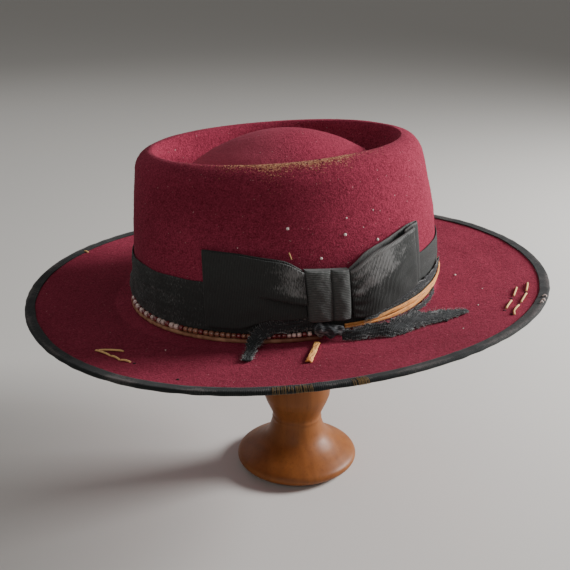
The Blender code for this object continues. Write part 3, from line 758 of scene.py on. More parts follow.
# The binding's section runs over the top, round the edge and under, at the binding's thickness off
# the felt. Puckers push it in and out with a few waves round the hat.
def addBinding():
    theta = np.linspace(-180, 180, bindingLook["around"], endpoint=False)
    turn = theta / 360
    pucker = 0.00009 * ripple(11, turn, turn * 0, 16, 90) + 0.00004 * ripple(12, turn, turn * 0, 10, 24)
    reach = bindingLook["reach"] + 0.00014 * ripple(13, turn, turn * 0, 12, 40)
    half = hat["felt"] / 2 + hat["gap"] + bindingLook["thickness"]
    inside = hat["felt"] / 2 + hat["gap"] * 0.5
    rows = [(-reach * inward, half + 0 * reach) for inward in np.linspace(1, 0, 10)[:-1]]
    for bend in np.radians(np.linspace(90, -90, 13)):
        rows.append(((half + 0.0002) * math.cos(bend) + 0 * reach, half * math.sin(bend) + 0 * reach))
    rows += [(-reach * inward, -half + 0 * reach) for inward in np.linspace(0, 1, 10)[1:]]
    shownRows = len(rows) - 1
    rows += [(-reach * inward, -inside + 0 * reach) for inward in np.linspace(1, 0, 7)]
    rows += [(-reach * inward, inside + 0 * reach) for inward in np.linspace(0, 1, 7)]
    out, up = (np.stack([row[k] for row in rows], 1) for k in (0, 1))
    shown = np.zeros(len(rows))
    shown[1:shownRows] = 1
    swell = 1 + (pucker[:, None] * shown) / half
    wide = theta[:, None]
    share = 1 + out / brimReach(wide)
    x = (hat["brimLength"] / 2 + out * swell) * np.cos(np.radians(wide))
    y = (hat["brimWidth"] / 2 + out * swell) * np.sin(np.radians(wide))
    z = brimRise(wide, np.minimum(share, 1.0)) - hat["felt"] / 2 + up * swell
    sections = toRow(np.stack([x, y, z], -1))
    length = pathLength(sections[:, 15])
    around = np.cumsum(np.hypot(np.gradient(out[0]), np.gradient(up[0])))
    wear = 0.5 + 0.5 * ripple(14, turn, turn * 0, 20, 30)[:, None] + 0 * out
    wear = wear + 0.9 * bell(np.abs(out) + np.abs(up - half), 0.0012)
    mesh = stripMesh("binding", sections, stripUv(length, around), True, {"wear": wear})
    finish = ribbonFinish("binding", bindingLook["colour"], bindingLook["worn"], 0.0011, 0, 0.16)
    piece = addPiece("brim_ribbon_binding", mesh, finish, "binding", "brim_binding")
    flat = (2 * bindingLook["reach"] + 2 * half, float(length[-1]))


addBinding()
print("binding ready")

ribbonLook = {
    "colour": (0.036, 0.038, 0.036),
    "worn": (0.19, 0.19, 0.185),
    "pitch": 0.00098,
    "thickness": 0.0008,
    "overBeads": 0.0024,
    "nubAt": 169,
    "crumpledAt": -172,
    "rubbedAt": -152,
}
ribbonCloth = [ribbonLook[key] for key in ("colour", "worn", "pitch")]


# The band follows the wall with a thin gap. It stands clear of the beads, small creases lift it
# where it is crumpled at the hat's front, and a thick fold, the nub, covers the beads beside it.
def addBand():
    theta = np.linspace(-180, 180, 420, endpoint=False)
    flatShare = np.linspace(0, 1, 24)
    overBeads = smoothStep(-theta, 96, 106) + smoothStep(theta, 0, 12)
    overBeads = overBeads * (1 - 0.8 * bell(theta - ribbonLook["nubAt"], 9))
    foot = (hat["fillet"] + hat["gap"] + ribbonLook["overBeads"] * overBeads)[:, None]
    wide, share = np.meshgrid(theta, flatShare, indexing="ij")
    high = foot + (hat["bandTop"] - foot) * share
    turn = wide / 360
    crumple = bell(turnBetween(wide, ribbonLook["crumpledAt"]), 16)
    lift = 0.00012 * ripple(21, turn, share, 16, 9)
    lift = lift + 0.0007 * crumple * np.abs(ripple(22, turn * 5, share * 2, 10, 7))
    lift = np.clip(lift, -0.0001, 0.0010) * smoothStep(share, 0, 0.2)
    lift = lift * (1 - smoothStep(share, 0.9, 1.0) * 0.6)
    nub = bell(wide - ribbonLook["nubAt"], 8) * (1 - smoothStep(share, 0.38, 0.55))
    lift = lift + 0.0020 * nub * (1 + 0.3 * ripple(25, turn * 6, share * 2, 8, 6))
    edge = 0.0003 * ripple(23, turn, share * 0, 10, 20) * (share > 0.98)
    middle = onHat(wide, hat["gap"] + hat["bandThickness"] / 2 + lift, high + edge)
    sections = toRow(clothSections(middle, ribbonLook["thickness"], True))
    length = pathLength(middle[:, 10])
    wear = 0.35 + 0.3 * ripple(24, turn, share, 14, 6) + 0.6 * crumple + 1.2 * nub
    wear = wear + 0.8 * bell(wide - ribbonLook["rubbedAt"], 18)
    uv = bothSides(stripUv(length, flatShare * hat["bandTop"]))
    mesh = stripMesh("band", sections, uv, True, {"wear": bothSides(wear)})
    finish = ribbonFinish("ribbonBand", *ribbonCloth, 0, 0.10)
    piece = addPiece("crown_ribbon_band", mesh, finish, "ribbon", "ribbon_band")


addBand()
print("band ready")

bow = {
    "leftEnd": -132.0,
    "knotLeft": -98.6,
    "knotRight": -84.0,
    "rightEnd": -55.6,
    "thickness": 0.0009,
    "knotDepth": 0.0070,
    "width": 0.036,
    "leftRows": (
        (0.00, 0.44, 1.20, 0.60),
        (0.16, 0.43, 1.36, 0.64),
        (0.36, 0.43, 1.43, 0.56),
        (0.50, 0.37, 1.47, 0.42),
        (0.66, 0.29, 1.51, 0.36),
        (0.94, 0.27, 1.54, 0.24),
        (1.00, 0.27, 1.545, 0.23),
    ),
    "rightRows": (
        (0.00, 0.34, 1.12, 0.50),
        (0.10, 0.32, 1.20, 0.62),
        (0.28, 0.35, 1.35, 0.78),
        (0.58, 0.48, 1.46, 0.88),
        (0.90, 0.60, 1.57, 0.88),
        (1.00, 0.62, 1.59, 0.84),
    ),
    "rightSlant": 1.6,
    "leftPath": (
        *((0.0, 1.0), (0.25, 1.0), (0.5, 1.0), (0.75, 1.0), (0.95, 1.0), (1.01, 0.6), (0.98, 0.08)),
        *((0.7, 0.0), (0.3, 0.0), (0.0, 0.0)),
    ),
    "rightPath": (
        *((0.0, 1.0), (0.2, 1.0), (0.45, 1.0), (0.7, 1.0), (0.86, 1.0), (0.915, 0.95), (0.915, 0.84)),
        *((0.84, 0.70), (0.83, 0.58), (0.93, 0.52), (1.05, 0.47), (1.10, 0.30), (1.08, 0.08)),
        *((0.7, 0.0), (0.35, 0.0), (0.0, 0.0)),
    ),
}


# A ribbon loop: the path gives the share of the way from the knot and of the depth, smoothed; the
# table gives the edges' heights and the depth there. relief adds folds to the front layer.
def bowLoop(rows, path, start, end, relief, slant=0.0, steps=150, upSteps=48):
    route = smoothRows(path, np.linspace(0, 1, steps))
    share, depthShare = route.T
    low, high, depth = readRows(rows, np.clip(share, 0, 1))
    top = hat["bandTop"]
    v = np.linspace(0, 1, upSteps)
    firstPart = np.arange(steps) < steps * 0.6
    frontness = (smoothStep(depthShare, 0.75, 0.98) * firstPart)[:, None]
    theta = (start + (end - start) * share)[:, None] + slant * share[:, None] ** 3 * (v - 0.3)
    up = (low * top)[:, None] + ((high - low) * top)[:, None] * v
    out = overBand + bow["thickness"] / 2 + (depthShare * depth * bow["knotDepth"])[:, None] + 0 * v
    out = out + frontness * relief(share[:, None] + 0 * v, v[None, :] + 0 * share[:, None])
    out = np.maximum(out, overBand + bow["thickness"] * np.where(frontness > 0, 1.9, 0.5))
    return onHat(theta, out, up), share, v


# The left loop's relief: a pleat that starts at the knot, stands out above its line and falls back
# below it, and gathers that fade away from the knot.
def leftRelief(u, v):
    fade = 1 - smoothStep(u, 0.24, 0.50)
    line = 0.31 + 0.10 * smoothStep(u, 0.0, 0.5)
    above = smoothStep(v, line - 0.008, line + 0.014)
    lobe = 0.0013 * fade * above * np.exp(-((v - line) / 0.34) ** 2)
    fall = -0.0034 * fade * (1 - above) * np.exp((v - line) / 0.30)
    gathers = 0.00022 * (1 - smoothStep(u, 0.03, 0.24)) * np.sin(u * 150 + 2 * np.sin(v * 12))
    return lobe + fall + gathers + 0.00025 * ripple(31, u * 0.7, v, 10, 3)


# The right loop's relief: it swells in the middle, and its gathers fan out from the knot.
def rightRelief(u, v):
    swell = 0.0006 * np.sin(np.pi * v) * np.sin(np.pi * np.clip(u, 0, 1))
    gathers = 0.0003 * (1 - smoothStep(u, 0.04, 0.30)) * np.sin(v * 38 + 2 * np.sin(u * 14))
    hem = 0.0011 * np.exp(-((v - 0.965) / 0.022) ** 2)
    return swell + gathers + hem + 0.0002 * ripple(32, u * 0.8, v, 12, 4)


# Wear is rubbed through where the left loop gathers, and over the right loop's upper part and hem.
def addBowLoop(name, node, side, relief, seed):
    knotGap = math.degrees(hat["gap"] / (hat["crownWidth"] / 2))
    left = side == "left"
    start = bow["knotLeft"] - knotGap if left else bow["knotRight"] + knotGap
    slant = 0.0 if left else bow["rightSlant"]
    rows, path, end = (bow[side + key] for key in ("Rows", "Path", "End"))
    middle, share, v = bowLoop(rows, path, start, end, relief, slant)
    u, w = np.meshgrid(share, v, indexing="ij")
    noise = ripple(seed, u, w, 16, 5)
    if left:
        wear = 1.05 * bell(u - 0.10, 0.17) * smoothStep(w, 0.38, 0.5) + 0.15 * noise - 0.1
        middle, wear = middle[::-1], wear[::-1]
    else:
        upper = smoothStep(w - 0.25 - u * 0.25, 0, 0.3)
        wear = 1.10 * upper * bell(u - 0.34, 0.42) + 0.7 * smoothStep(w, 0.93, 0.99) + 0.15 * noise
    length = pathLength(middle[:, 24])
    uv = bothSides(stripUv(length, v * bow["width"]))
    sections = toRow(clothSections(middle, bow["thickness"]))
    mesh = stripMesh(name, sections, uv, False, {"wear": bothSides(wear)})
    finish = ribbonFinish(name, *ribbonCloth, 0, 0.30)
    piece = addPiece(name, mesh, finish, "ribbon", node)


# The knot: sections from its lower to its upper edge, each a row of folds between two sides. The
# folds are sines to a low power, so that they are full and part in narrow creases.
knotRows = (
    (0.00, 0.38, 0.33, 0.78),
    (0.05, 0.42, 0.37, 0.94),
    (0.25, 0.59, 0.54, 1.00),
    (0.50, 0.80, 0.75, 1.00),
    (0.75, 1.01, 0.95, 0.98),
    (0.95, 1.18, 1.11, 0.93),
    (1.00, 1.22, 1.15, 0.80),
)


def addKnot():
    steps = np.linspace(0, 1, 60)
    left, right, depth = (column[:, None] for column in readRows(knotRows, steps))
    across = np.linspace(0, 1, 70)[None, :]
    crease = 0.58
    first = np.clip(across / crease, 0, 1)
    second = np.clip((across - crease) / (1 - crease), 0, 1)
    fold = np.where(across < crease, np.sin(np.pi * first), 0.92 * np.sin(np.pi * second)) ** 0.24
    wobble = 0.03 * ripple(51, across, steps[:, None], 8, 3)
    out = bow["knotDepth"] * depth * (0.30 + 0.70 * fold + wobble * fold)
    narrowing = 1 - 0.06 * (1 - steps[:, None])
    theta = bow["knotLeft"] + (bow["knotRight"] - bow["knotLeft"]) * across * narrowing + 0 * out
    up = (left + (right - left) * across) * hat["bandTop"]
    front = onHat(theta, overBand + out, up)
    back = onHat(theta, overBand + 0 * out, up)
    sections = toRow(np.concatenate([front, back[:, ::-1]], 1))
    uv = bothSides(stripUv(steps * 0.028, across[0] * 0.024))
    upper = smoothStep(steps, 0.6, 0.95)[:, None]
    wear = 0.50 * fold + 0.35 * fold * upper + 0.10 * ripple(52, across, steps[:, None], 12, 6)
    wear = np.concatenate([wear, 0 * wear], 1)
    mesh = stripMesh("knot", sections, uv, False, {"wear": wear})
    colour = [c * 2.0 for c in ribbonLook["colour"]]
    finish = ribbonFinish("knotRibbon", colour, [c * 0.8 for c in ribbonLook["worn"]], 0.00095, 0, 0.20)
    addPiece("bow_centre_wrap", mesh, finish, "ribbon", "bow_knot")


addBowLoop("bow_left_loop", "bow_left", "left", leftRelief, 41)
addBowLoop("bow_right_loop", "bow_right", "right", rightRelief, 42)
addKnot()
print("bow ready")

beads = {
    "radius": 0.0015,
    "tucked": 0.0012,
    "cordRadius": 0.0013,
    "cordStart": -94.0,
    "cordEnd": -353.0,
    "hiddenAt": -191,
    "start": -97.4,
    "end": -349.5,
    "spacing": 1.16,
    "sizes": (0.88, 1.02),
    "largerBy": 0.22,
    "lengthShare": 0.86,
    "pale": (0.84, 0.62, 0.55),
    "red": (0.20, 0.012, 0.016),
    "brown": (0.36, 0.15, 0.085),
    "shares": (0.34, 0.30, 0.36),
    "stain": (0.25, 0.10, 0.08),
    "cordColours": ((0.24, 0.090, 0.045), (0.58, 0.32, 0.18)),
    "cordRed": (0.12, 0.022, 0.012),
    "cordDark": (0.14, 0.050, 0.022),
}


# How far the cord's middle lies from the crown's wall and above the brim.
def cordPlace():
    out = overBand + beads["cordRadius"] + hat["gap"] - beads["tucked"]
    return out, hat["gap"] + beads["cordRadius"]


# Blotched brown leather that turns dark red towards the cord's first end.
def cordFinish():
    leather = Finish("cordLeather", roughness=0.62, specular=0.4)
    spot = leather.place()
    blotch = leather.noise(spot, 180, 4)
    fine = leather.noise(spot, 1300, 3, 0.6)
    colour = leather.mix(leather.step(blotch, 0.3, 0.7), *beads["cordColours"])
    redEnd = 1 - leather.step(leather.cloth()[0], 0.012, 0.05)
    colour = leather.mix(redEnd * 0.75, colour, beads["cordRed"])
    leather.set("color", leather.mix(fine * 0.30, colour, beads["cordDark"]))
    leather.set("normal", leather.bump(fine + blotch, 0.0002, 0.6))
    return leather.material


# A leather cord in the corner of brim and band: a tube whose radius swells a little along it.
def addCord():
    out, up = cordPlace()
    theta = np.linspace(beads["cordStart"], beads["cordEnd"], 520)
    path = toRow(onHat(theta, out, up))
    side = toRow(onHat(theta, out + 0.01, up)) - path
    length = pathLength(path)
    taper = smoothStep(length, 0, 0.003) * smoothStep(length[-1] - length, 0, 0.003) * 0.5 + 0.5
    radius = beads["cordRadius"] * taper * (1 + 0.05 * ripple(61, length * 20, length * 0, 12, 8))
    sections = tubeSections(path, radius, side, 12)
    uv = stripUv(length, np.linspace(0, 1, 12) * 0.0088)
    addPiece("crown_leather_cord", stripMesh("cord", sections, uv), cordFinish(), "cord", "leather_cord")


# Beads on a hidden thread: each is a rounded ring about the thread, set a diameter from the next.
def addBeads():
    out = overBand + beads["radius"] - beads["tucked"]
    up = cordPlace()[1] + beads["cordRadius"] + hat["gap"] + beads["radius"]
    fine = np.linspace(beads["start"], beads["end"], 4000)
    tuck = 0.0011 * bell(fine - beads["hiddenAt"], 9)
    path = toRow(onHat(fine, out - tuck, up))
    length = pathLength(path)
    count = int(length[-1] / (beads["radius"] * 2 * beads["spacing"]))
    rng = np.random.default_rng(7)
    larger = smoothStep(np.arange(count) / count, 0.10, 0.18)
    sizes = rng.uniform(*beads["sizes"], count) * (1 + beads["largerBy"] * larger)
    stations = (np.cumsum(sizes) - sizes / 2) / sizes.sum() * length[-1]
    theta = np.interp(stations, length, fine)
    out = out - np.interp(stations, length, tuck)
    places = toRow(onHat(theta, out, up))
    ahead = unit(toRow(onHat(theta - 0.2, out, up)) - places)
    away = unit(toRow(onHat(theta, out + 0.005, up)) - places)
    upward = np.cross(ahead, away)
    tilt = rng.normal(0, 0.12, (count, 1))
    ahead = unit(ahead + away * tilt)
    away = unit(np.cross(upward, ahead))
    axes = np.stack([ahead, away, upward], 1) * (beads["radius"] * sizes)[:, None, None]
    spun, ringed = np.meshgrid(circle(12), circle(10), indexing="ij")
    radial = 0.60 + 0.40 * np.cos(ringed)
    lengthwise = np.sin(ringed) * beads["lengthShare"]
    shape = np.stack([lengthwise, radial * np.cos(spun), radial * np.sin(spun)], -1).reshape(-1, 3)
    faces = [gridFaces(12, 10, True, True)]
    palette = np.array([beads["pale"], beads["red"], beads["brown"]])
    choice = rng.choice(3, count, p=beads["shares"])
    order = np.arange(count)
    for start, end, kinds in (
        (98, 108, order % 2 * (order % 3 > 0)),
        (117, 142, np.where(order % 7 == 0, 1, 2)),
        (142, 154, order % 3 % 2),
        (154, 182, order % 2),
    ):
        choice = np.where((-theta > start) & (-theta < end), kinds, choice)
    colours = palette[choice] * rng.uniform(0.8, 1.2, (count, 1))
    bead = Finish("beadGlass", roughness=0.25, coat=0.8, coatRoughness=0.08, specular=0.7)
    tint = bead.attribute("tint", "Color")
    spot = bead.place()
    bead.set("color", bead.mix(bead.noise(spot, 900, 3) * 0.35, tint, beads["stain"]))
    bead.set("roughness", bead.noise(spot, 700, 2) * 0.4 + 0.1)
    mesh = scatterMesh("beads", shape, faces, places, axes, {"tint": colours})
    addPiece("crown_bead_string", mesh, bead.material, "beads", "bead_string")


addCord()
addBeads()
print("cord and beads ready")

strips = {
    "lace": (
        (-86.5, 0.0, 0.180, 0, 0.66),
        (-81.8, 0.0, 0.172, 0, 0.60),
        (-76.1, 0.0, 0.165, 0, 0.68),
        (-68.0, 0.0, 0.180, 0, 1.16),
        (-60.0, 0.0, 0.192, 0, 1.36),
        (-53.8, 0.0, 0.205, 0, 1.28),
        (-47.5, 0.0, 0.232, 0, 1.14),
        (-41.0, 0.0, 0.262, 0, 0.96),
        (-34.0, 0.0, 0.300, 0, 0.72),
        (-24.0, 0.0, 0.330, 0, 0.52),
        (-8.0, 0.0, 0.300, 0, 0.44),
    ),
    "curl": (
        (-60.0, 0.022, 0.070, 10, 0.34),
        (-54.5, 0.026, 0.100, 0, 0.34),
        (-49.4, 0.022, 0.110, 0, 0.36),
        (-44.7, 0.016, 0.140, 0, 0.36),
        (-41.0, 0.010, 0.200, 0, 0.30),
    ),
    "laceEnd": (
        (-96.4, 0.070, 0.0, 90, 0.84),
        (-98.0, 0.190, 0.0, 90, 0.84),
        (-99.5, 0.320, 0.0, 90, 0.86),
        (-100.9, 0.450, 0.0, 90, 0.86),
    ),
    "tornLeft": (
        (-96.6, 0.012, 0.325, 0, 0.66),
        (-101.5, 0.012, 0.330, 0, 0.78),
        (-106.5, 0.014, 0.325, 0, 0.82),
        (-110.6, 0.018, 0.300, 0, 0.84),
        (-113.4, 0.042, 0.240, 10, 0.82),
        (-115.0, 0.075, 0.150, 25, 0.76),
        (-115.8, 0.125, 0.060, 50, 0.66),
        (-116.0, 0.215, 0.0, 80, 0.58),
        (-116.0, 0.300, 0.0, 86, 0.56),
        (-115.9, 0.385, 0.0, 90, 0.44),
    ),
    "tornUpper": (
        (-80.0, 0.030, 0.330, 20, 0.48),
        (-76.5, 0.030, 0.310, 10, 0.52),
        (-71.5, 0.0, 0.330, 0, 0.42),
        (-66.5, 0.0, 0.372, 0, 0.42),
        (-61.7, 0.0, 0.410, 0, 0.46),
        (-56.7, 0.0, 0.442, 0, 0.50),
        (-50.9, 0.0, 0.462, 0, 0.48),
        (-43.4, 0.0, 0.480, 0, 0.42),
        (-35.6, 0.0, 0.525, 0, 0.38),
        (-30.0, 0.0, 0.590, 0, 0.28),
    ),
    "tornTail": (
        (-88.6, 0.070, 0.0, 25, 0.46),
        (-84.0, 0.108, 0.0, 40, 0.64),
        (-79.5, 0.131, 0.0, 45, 0.80),
        (-74.5, 0.184, 0.0, 50, 0.92),
        (-70.0, 0.190, 0.0, 50, 1.02),
        (-65.0, 0.197, 0.0, 50, 1.04),
        (-61.0, 0.226, 0.0, 60, 0.84),
        (-56.5, 0.277, 0.0, 72, 0.84),
        (-52.8, 0.324, 0.0, 80, 0.74),
        (-49.0, 0.395, 0.0, 88, 0.34),
    ),
    "laceWidth": 0.0050,
    "laceThickness": 0.0012,
    "laceEndWidth": 0.0040,
    "tornWidth": 0.0110,
    "tornThickness": 0.0013,
    "tornColour": (0.032, 0.034, 0.035),
    "tornWorn": (0.27, 0.265, 0.26),
    "tornCloth": 0.0007,
    "edgeWander": 0.16,
    "threadColour": (0.29, 0.29, 0.28, 1),
    "threadLengths": (0.0008, 0.0028),
    "threadRadius": 0.00009,
    "laceColours": ((0.90, 0.36, 0.09), (0.98, 0.48, 0.17)),
    "laceDark": (0.34, 0.13, 0.05),
    "knotColour": (0.034, 0.037, 0.040),
    "knotWorn": (0.17, 0.175, 0.18),
}


# A flat strip on the band or the brim: a middle line from the route's table, and beside it a
# direction across and one facing out, leaning from outwards to upwards as the table says.
def stripFrame(route, width, thickness, count):
    theta, out, up, lean, share = smoothRows(route, np.linspace(0, 1, count)).T
    lean = np.radians(lean)
    half = width * share / 2
    seat = hat["gap"] + thickness / 2 * np.sin(lean) + half * np.cos(lean)
    away = overBand + thickness / 2 + out * brimReach(theta)
    centre = onHat(theta, away, np.maximum(up * hat["bandTop"], seat))
    along = unit(np.gradient(centre, axis=0))
    facing = onHat(theta, 0.1, 0.0) - onHat(theta, 0.0, 0.0)
    facing[:, 2] = 0
    face = unit(facing) * np.cos(lean)[:, None] + np.array([0, 0, 1]) * np.sin(lean)[:, None]
    across = unit(np.cross(face, along))
    return centre, along, across, np.cross(along, across), half


# Loose threads of a torn strip, rooted on it and most of them near its edges.
def addThreads(name, frame, count, seed):
    centre, along, across, face, half = frame
    rng = np.random.default_rng(seed)
    pick = rng.integers(1, len(centre) - 1, count)
    sign = rng.choice([-1.0, 1.0], count)[:, None]
    inward = rng.choice([0.85, 0.60, 0.30], count, p=(0.5, 0.3, 0.2))[:, None]
    roots = centre[pick] + across[pick] * sign * (half[pick, None] * inward) + face[pick] * 0.0004
    stands = rng.uniform(0, 0.5, (count, 1)) + (1 - inward) * 0.6
    lean = rng.normal(0, 0.9, (count, 1))
    away = unit(across[pick] * sign + along[pick] * lean + face[pick] * stands)
    bend = rng.normal(0, 0.35, (count, 3))
    lengths = rng.uniform(*strips["threadLengths"], count)
    turned = turnToRow(roots, away)
    mesh = hairMesh(name, toRow(roots), turned, bend, lengths, strips["threadRadius"])
    thread = Finish(name, roughness=0.85, color=strips["threadColour"])
    addPiece(name, mesh, thread.material, "torn_cloth")


# A torn strip: its edges wander, it is crumpled across, and its loose threads stand off it.
def addTorn(name, node, route, seed, fray):
    count, wide = 90, 16
    frame = stripFrame(route, strips["tornWidth"], strips["tornThickness"], count)
    centre, along, across, face, half = frame
    place = np.linspace(0, 1, count)
    b = np.linspace(-1, 1, wide)[None, :]
    p = place[:, None]
    upperEdge = 1 + strips["edgeWander"] * ripple(seed, place, place * 0, 14, 24)
    lowerEdge = 1 + strips["edgeWander"] * ripple(seed + 1, place, place * 0, 14, 24)
    reach = np.where(b > 0, upperEdge[:, None], lowerEdge[:, None]) * half[:, None] * 0.95
    folds = np.abs(np.sin(b * 4 + p * 23 + 2 * np.sin(p * 40)))
    crumple = 0.00035 * ripple(seed + 2, p * 1.0, b * 0.6, 16, 7) + 0.0003 * folds + 0.00015
    middle = centre[:, None] + across[:, None] * (b * reach)[..., None] + face[:, None] * crumple[..., None]
    sections = toRow(clothSections(middle, strips["tornCloth"]))
    wear = 0.50 * np.abs(b) ** 4 + 0.35 * ripple(seed + 3, p, b, 16, 8) + 0 * p
    uv = bothSides(stripUv(pathLength(centre), np.linspace(0, 0.01, wide)))
    mesh = stripMesh(name, sections, uv, False, {"wear": bothSides(wear)})
    finish = ribbonFinish(name, strips["tornColour"], strips["tornWorn"], 0.0010, 0, 0.34, 0.85)
    addPiece(name, mesh, finish, "torn_cloth", *([node] if node else []))
    addThreads(name + "_threads", frame, fray, seed + 5)


# Where the torn strips cross: round sections from left to right, lumpy, with the table's height in
# shares of the band's, half-height and depth.
def addTornKnot():
    turn = circle(40)
    share = np.linspace(0, 1, 40)
    rows = (
        (0.00, 0.235, 0.060, 0.60),
        (0.16, 0.240, 0.120, 0.95),
        (0.34, 0.215, 0.095, 0.80),
        (0.52, 0.175, 0.125, 1.05),
        (0.70, 0.165, 0.090, 0.78),
        (0.86, 0.155, 0.100, 0.82),
        (1.00, 0.150, 0.060, 0.50),
    )
    middle, half, depth = (column[:, None] for column in readRows(rows, share))
    theta = (-97.0 + 9.6 * share)[:, None] + 0 * turn
    lump = 1 + 0.13 * ripple(71, turn / (2 * np.pi), share[:, None], 18, 4)
    reach = 0.0070 * depth / 2
    out = overBand + 0.0035 + reach * np.cos(turn) * lump
    up = (middle + half * np.sin(turn) * lump) * hat["bandTop"]
    sections = toRow(onHat(theta, out, up))
    wear = 0.5 + 0.5 * ripple(72, turn / (2 * np.pi), share[:, None], 14, 6)
    uv = stripUv(share * 0.010, turn / (2 * np.pi) * 0.020)
    mesh = stripMesh("tornKnot", sections, uv, False, {"wear": wear})
    finish = ribbonFinish("tornKnot", strips["knotColour"], strips["knotWorn"], 0.0012, 1, 0.3, 0.85)
    addPiece("torn_strip_knot", mesh, finish, "torn_cloth", "torn_knot")


# Fibres drawn out along the lace, dark between, in two tans.
def laceFinish(name):
    lace = Finish(name, roughness=0.72, specular=0.3)
    along, across = lace.cloth()
    fibres = lace.node("CombineXYZ", None, {0: along * 160, 1: across * 2600})
    grain = lace.noise(fibres, 1.0, 4, 0.6)
    patch = lace.noise(lace.place(), 150, 3)
    colour = lace.mix(lace.step(patch, 0.35, 0.65), *strips["laceColours"])
    lace.set("color", lace.mix(lace.step(grain, 0.32, 0.54), strips["laceDark"], colour))
    lace.set("normal", lace.bump(grain, 0.0004, 0.8))
    return lace.material


# The split lace: two half-round strands side by side along one route, twisting a little.
def addLace():
    count, around = 160, 14
    frame = stripFrame(strips["lace"], strips["laceWidth"], strips["laceThickness"], count)
    centre, along, across, face, half = frame
    length = pathLength(centre)
    turn = circle(around)
    uv = stripUv(length, turn / (2 * np.pi) * 0.006)
    finish = laceFinish("laceLeather")
    strands = ((-1, "split_lace_lower", ["tan_lace"]), (1, "split_lace_upper", []))
    for index, (side, name, nodes) in enumerate(strands):
        wander = 0.06 * ripple(81 + index, length * 12, length * 0, 8, 3)
        middle = centre + across * (half * (0.5 * side + wander))[:, None]
        wide = half * (0.50 + 0.06 * ripple(83 + index, length * 10, length * 0, 8, 6))
        swell = 1 + 0.15 * ripple(85 + index, length * 14, length * 0, 8, 5)
        flat = np.cos(turn) * wide[:, None]
        thick = strips["laceThickness"] / 2 * swell[:, None] * np.sin(turn)
        points = middle[:, None] + across[:, None] * flat[..., None] + face[:, None] * thick[..., None]
        addPiece(name, stripMesh("lace", toRow(points), uv), finish, "lace", *nodes)


# The lace's end: a flat strip whose middle stands a little higher than its edges.
def addLaceEnd():
    count, wide = 40, 14
    frame = stripFrame(strips["laceEnd"], strips["laceEndWidth"], strips["laceThickness"], count)
    centre, along, across, face, half = frame
    b = np.linspace(-1, 1, wide)[None, :]
    p = np.linspace(0, 1, count)[:, None]
    lift = 0.0002 * ripple(91, p, b * 0.4, 8, 3) + 0.0003 * (1 - b**2)
    edge = 1 + 0.07 * ripple(92, p, np.sign(b) * 0.3, 10, 10)
    reach = b * edge * half[:, None]
    middle = centre[:, None] + across[:, None] * reach[..., None] + face[:, None] * lift[..., None]
    uv = bothSides(stripUv(pathLength(centre), np.linspace(0, 0.0042, wide)))
    mesh = stripMesh("laceEnd", toRow(clothSections(middle, 0.0009)), uv)
    addPiece("lace_loose_end", mesh, laceFinish("laceEndLeather"), "lace", "lace_end")


addLace()
addLaceEnd()
addTorn("torn_strip_left", "torn_left", strips["tornLeft"], 101, 420)
addTorn("torn_strip_upper", "torn_upper", strips["tornUpper"], 121, 380)
addTorn("torn_strip_tail", "torn_tail", strips["tornTail"], 141, 900)
addTorn("torn_strip_curl", None, strips["curl"], 161, 120)
addTornKnot()
print("laces and torn strips ready")

marks = {
    "stitchRadius": 0.00060,
    "sliverRadius": 0.00035,
    "whiteRadius": 0.0004,
    "holeRadius": 0.0009,
    "wrapRadius": 0.00012,
    "wrapShare": 0.82,
    "straw": (0.88, 0.56, 0.24),
    # Painted shade for the stitch holes.
    "pale": (0.95, 0.80, 0.75),
    "holeShadeColour": (0.010, 0.006, 0.007),
    "brimStitches": (
        ((-30.0, 0.726), (-36.0, 0.719)),
        ((-39.2, 0.722), (-44.6, 0.725)),
        ((-27.2, 0.823), (-32.8, 0.817)),
        ((-34.3, 0.824), (-40.3, 0.813)),
        ((-42.2, 0.813), (-46.0, 0.811)),
        ((-46.2, 0.813), (-48.2, 0.844)),
        ((-153.1, 0.700), (-150.8, 0.630), (-148.4, 0.563)),
        ((-153.5, 0.712), (-148.6, 0.695)),
        ((-148.2, 0.696), (-145.2, 0.706)),
        ((-144.8, 0.705), (-142.3, 0.690)),
        ((139.2, 0.950), (139.2, 0.905)),
    ),
    "bindingStitches": (
        ((-36.7, 0.978), (-36.8, 1.012)),
        ((-39.3, 0.990), (-39.2, 1.010)),
        ((-40.8, 0.985), (-40.5, 1.005)),
    ),
    "brimHoles": (
        (-37.5, 0.708),
        (-45.7, 0.724),
        (-33.6, 0.811),
        (-41.3, 0.802),
        (-47.9, 0.815),
        (-141.2, 0.687),
        (-127.9, 0.818),
    ),
    "brimSpecks": (
        (-16.2, 0.190, 0.0008),
        (-43.2, 0.461, 0.0005),
        (-60.0, 0.600, 0.0004),
        (-30.0, 0.420, 0.0004),
        (-140.0, 0.350, 0.0004),
    ),
    "crownSpecks": (
        (-102.2, 0.0659, 0.0009),
        (-82.4, 0.0589, 0.0009),
        (-69.9, 0.0522, 0.0009),
        (-92.0, 0.0476, 0.0008),
        (-80.9, 0.0679, 0.0005),
        (-69.7, 0.0693, 0.0004),
        (-120.0, 0.0560, 0.0003),
        (-75.0, 0.0610, 0.0003),
        (-58.0, 0.0740, 0.0003),
    ),
    "sliver": ((-102.6, 0.0524), (-102.0, 0.0486)),
    "wraps": ((-108.6, -101.6, 0.50), (-94.6, -91.6, 0.85)),
    "wrapStep": 0.21,
    "wrapColour": (0.40, 0.24, 0.09),
}


# One colour, mottled from darker to lighter.
def plainFinish(name, colour, roughness=0.8):
    finish = Finish(name, roughness=roughness, specular=0.3)
    spot = finish.place()
    mottle = finish.noise(spot, 1500, 3, 0.6)
    finish.set("color", finish.mix(mottle, [c * 0.6 for c in colour], [c * 1.3 for c in colour]))
    return finish.material


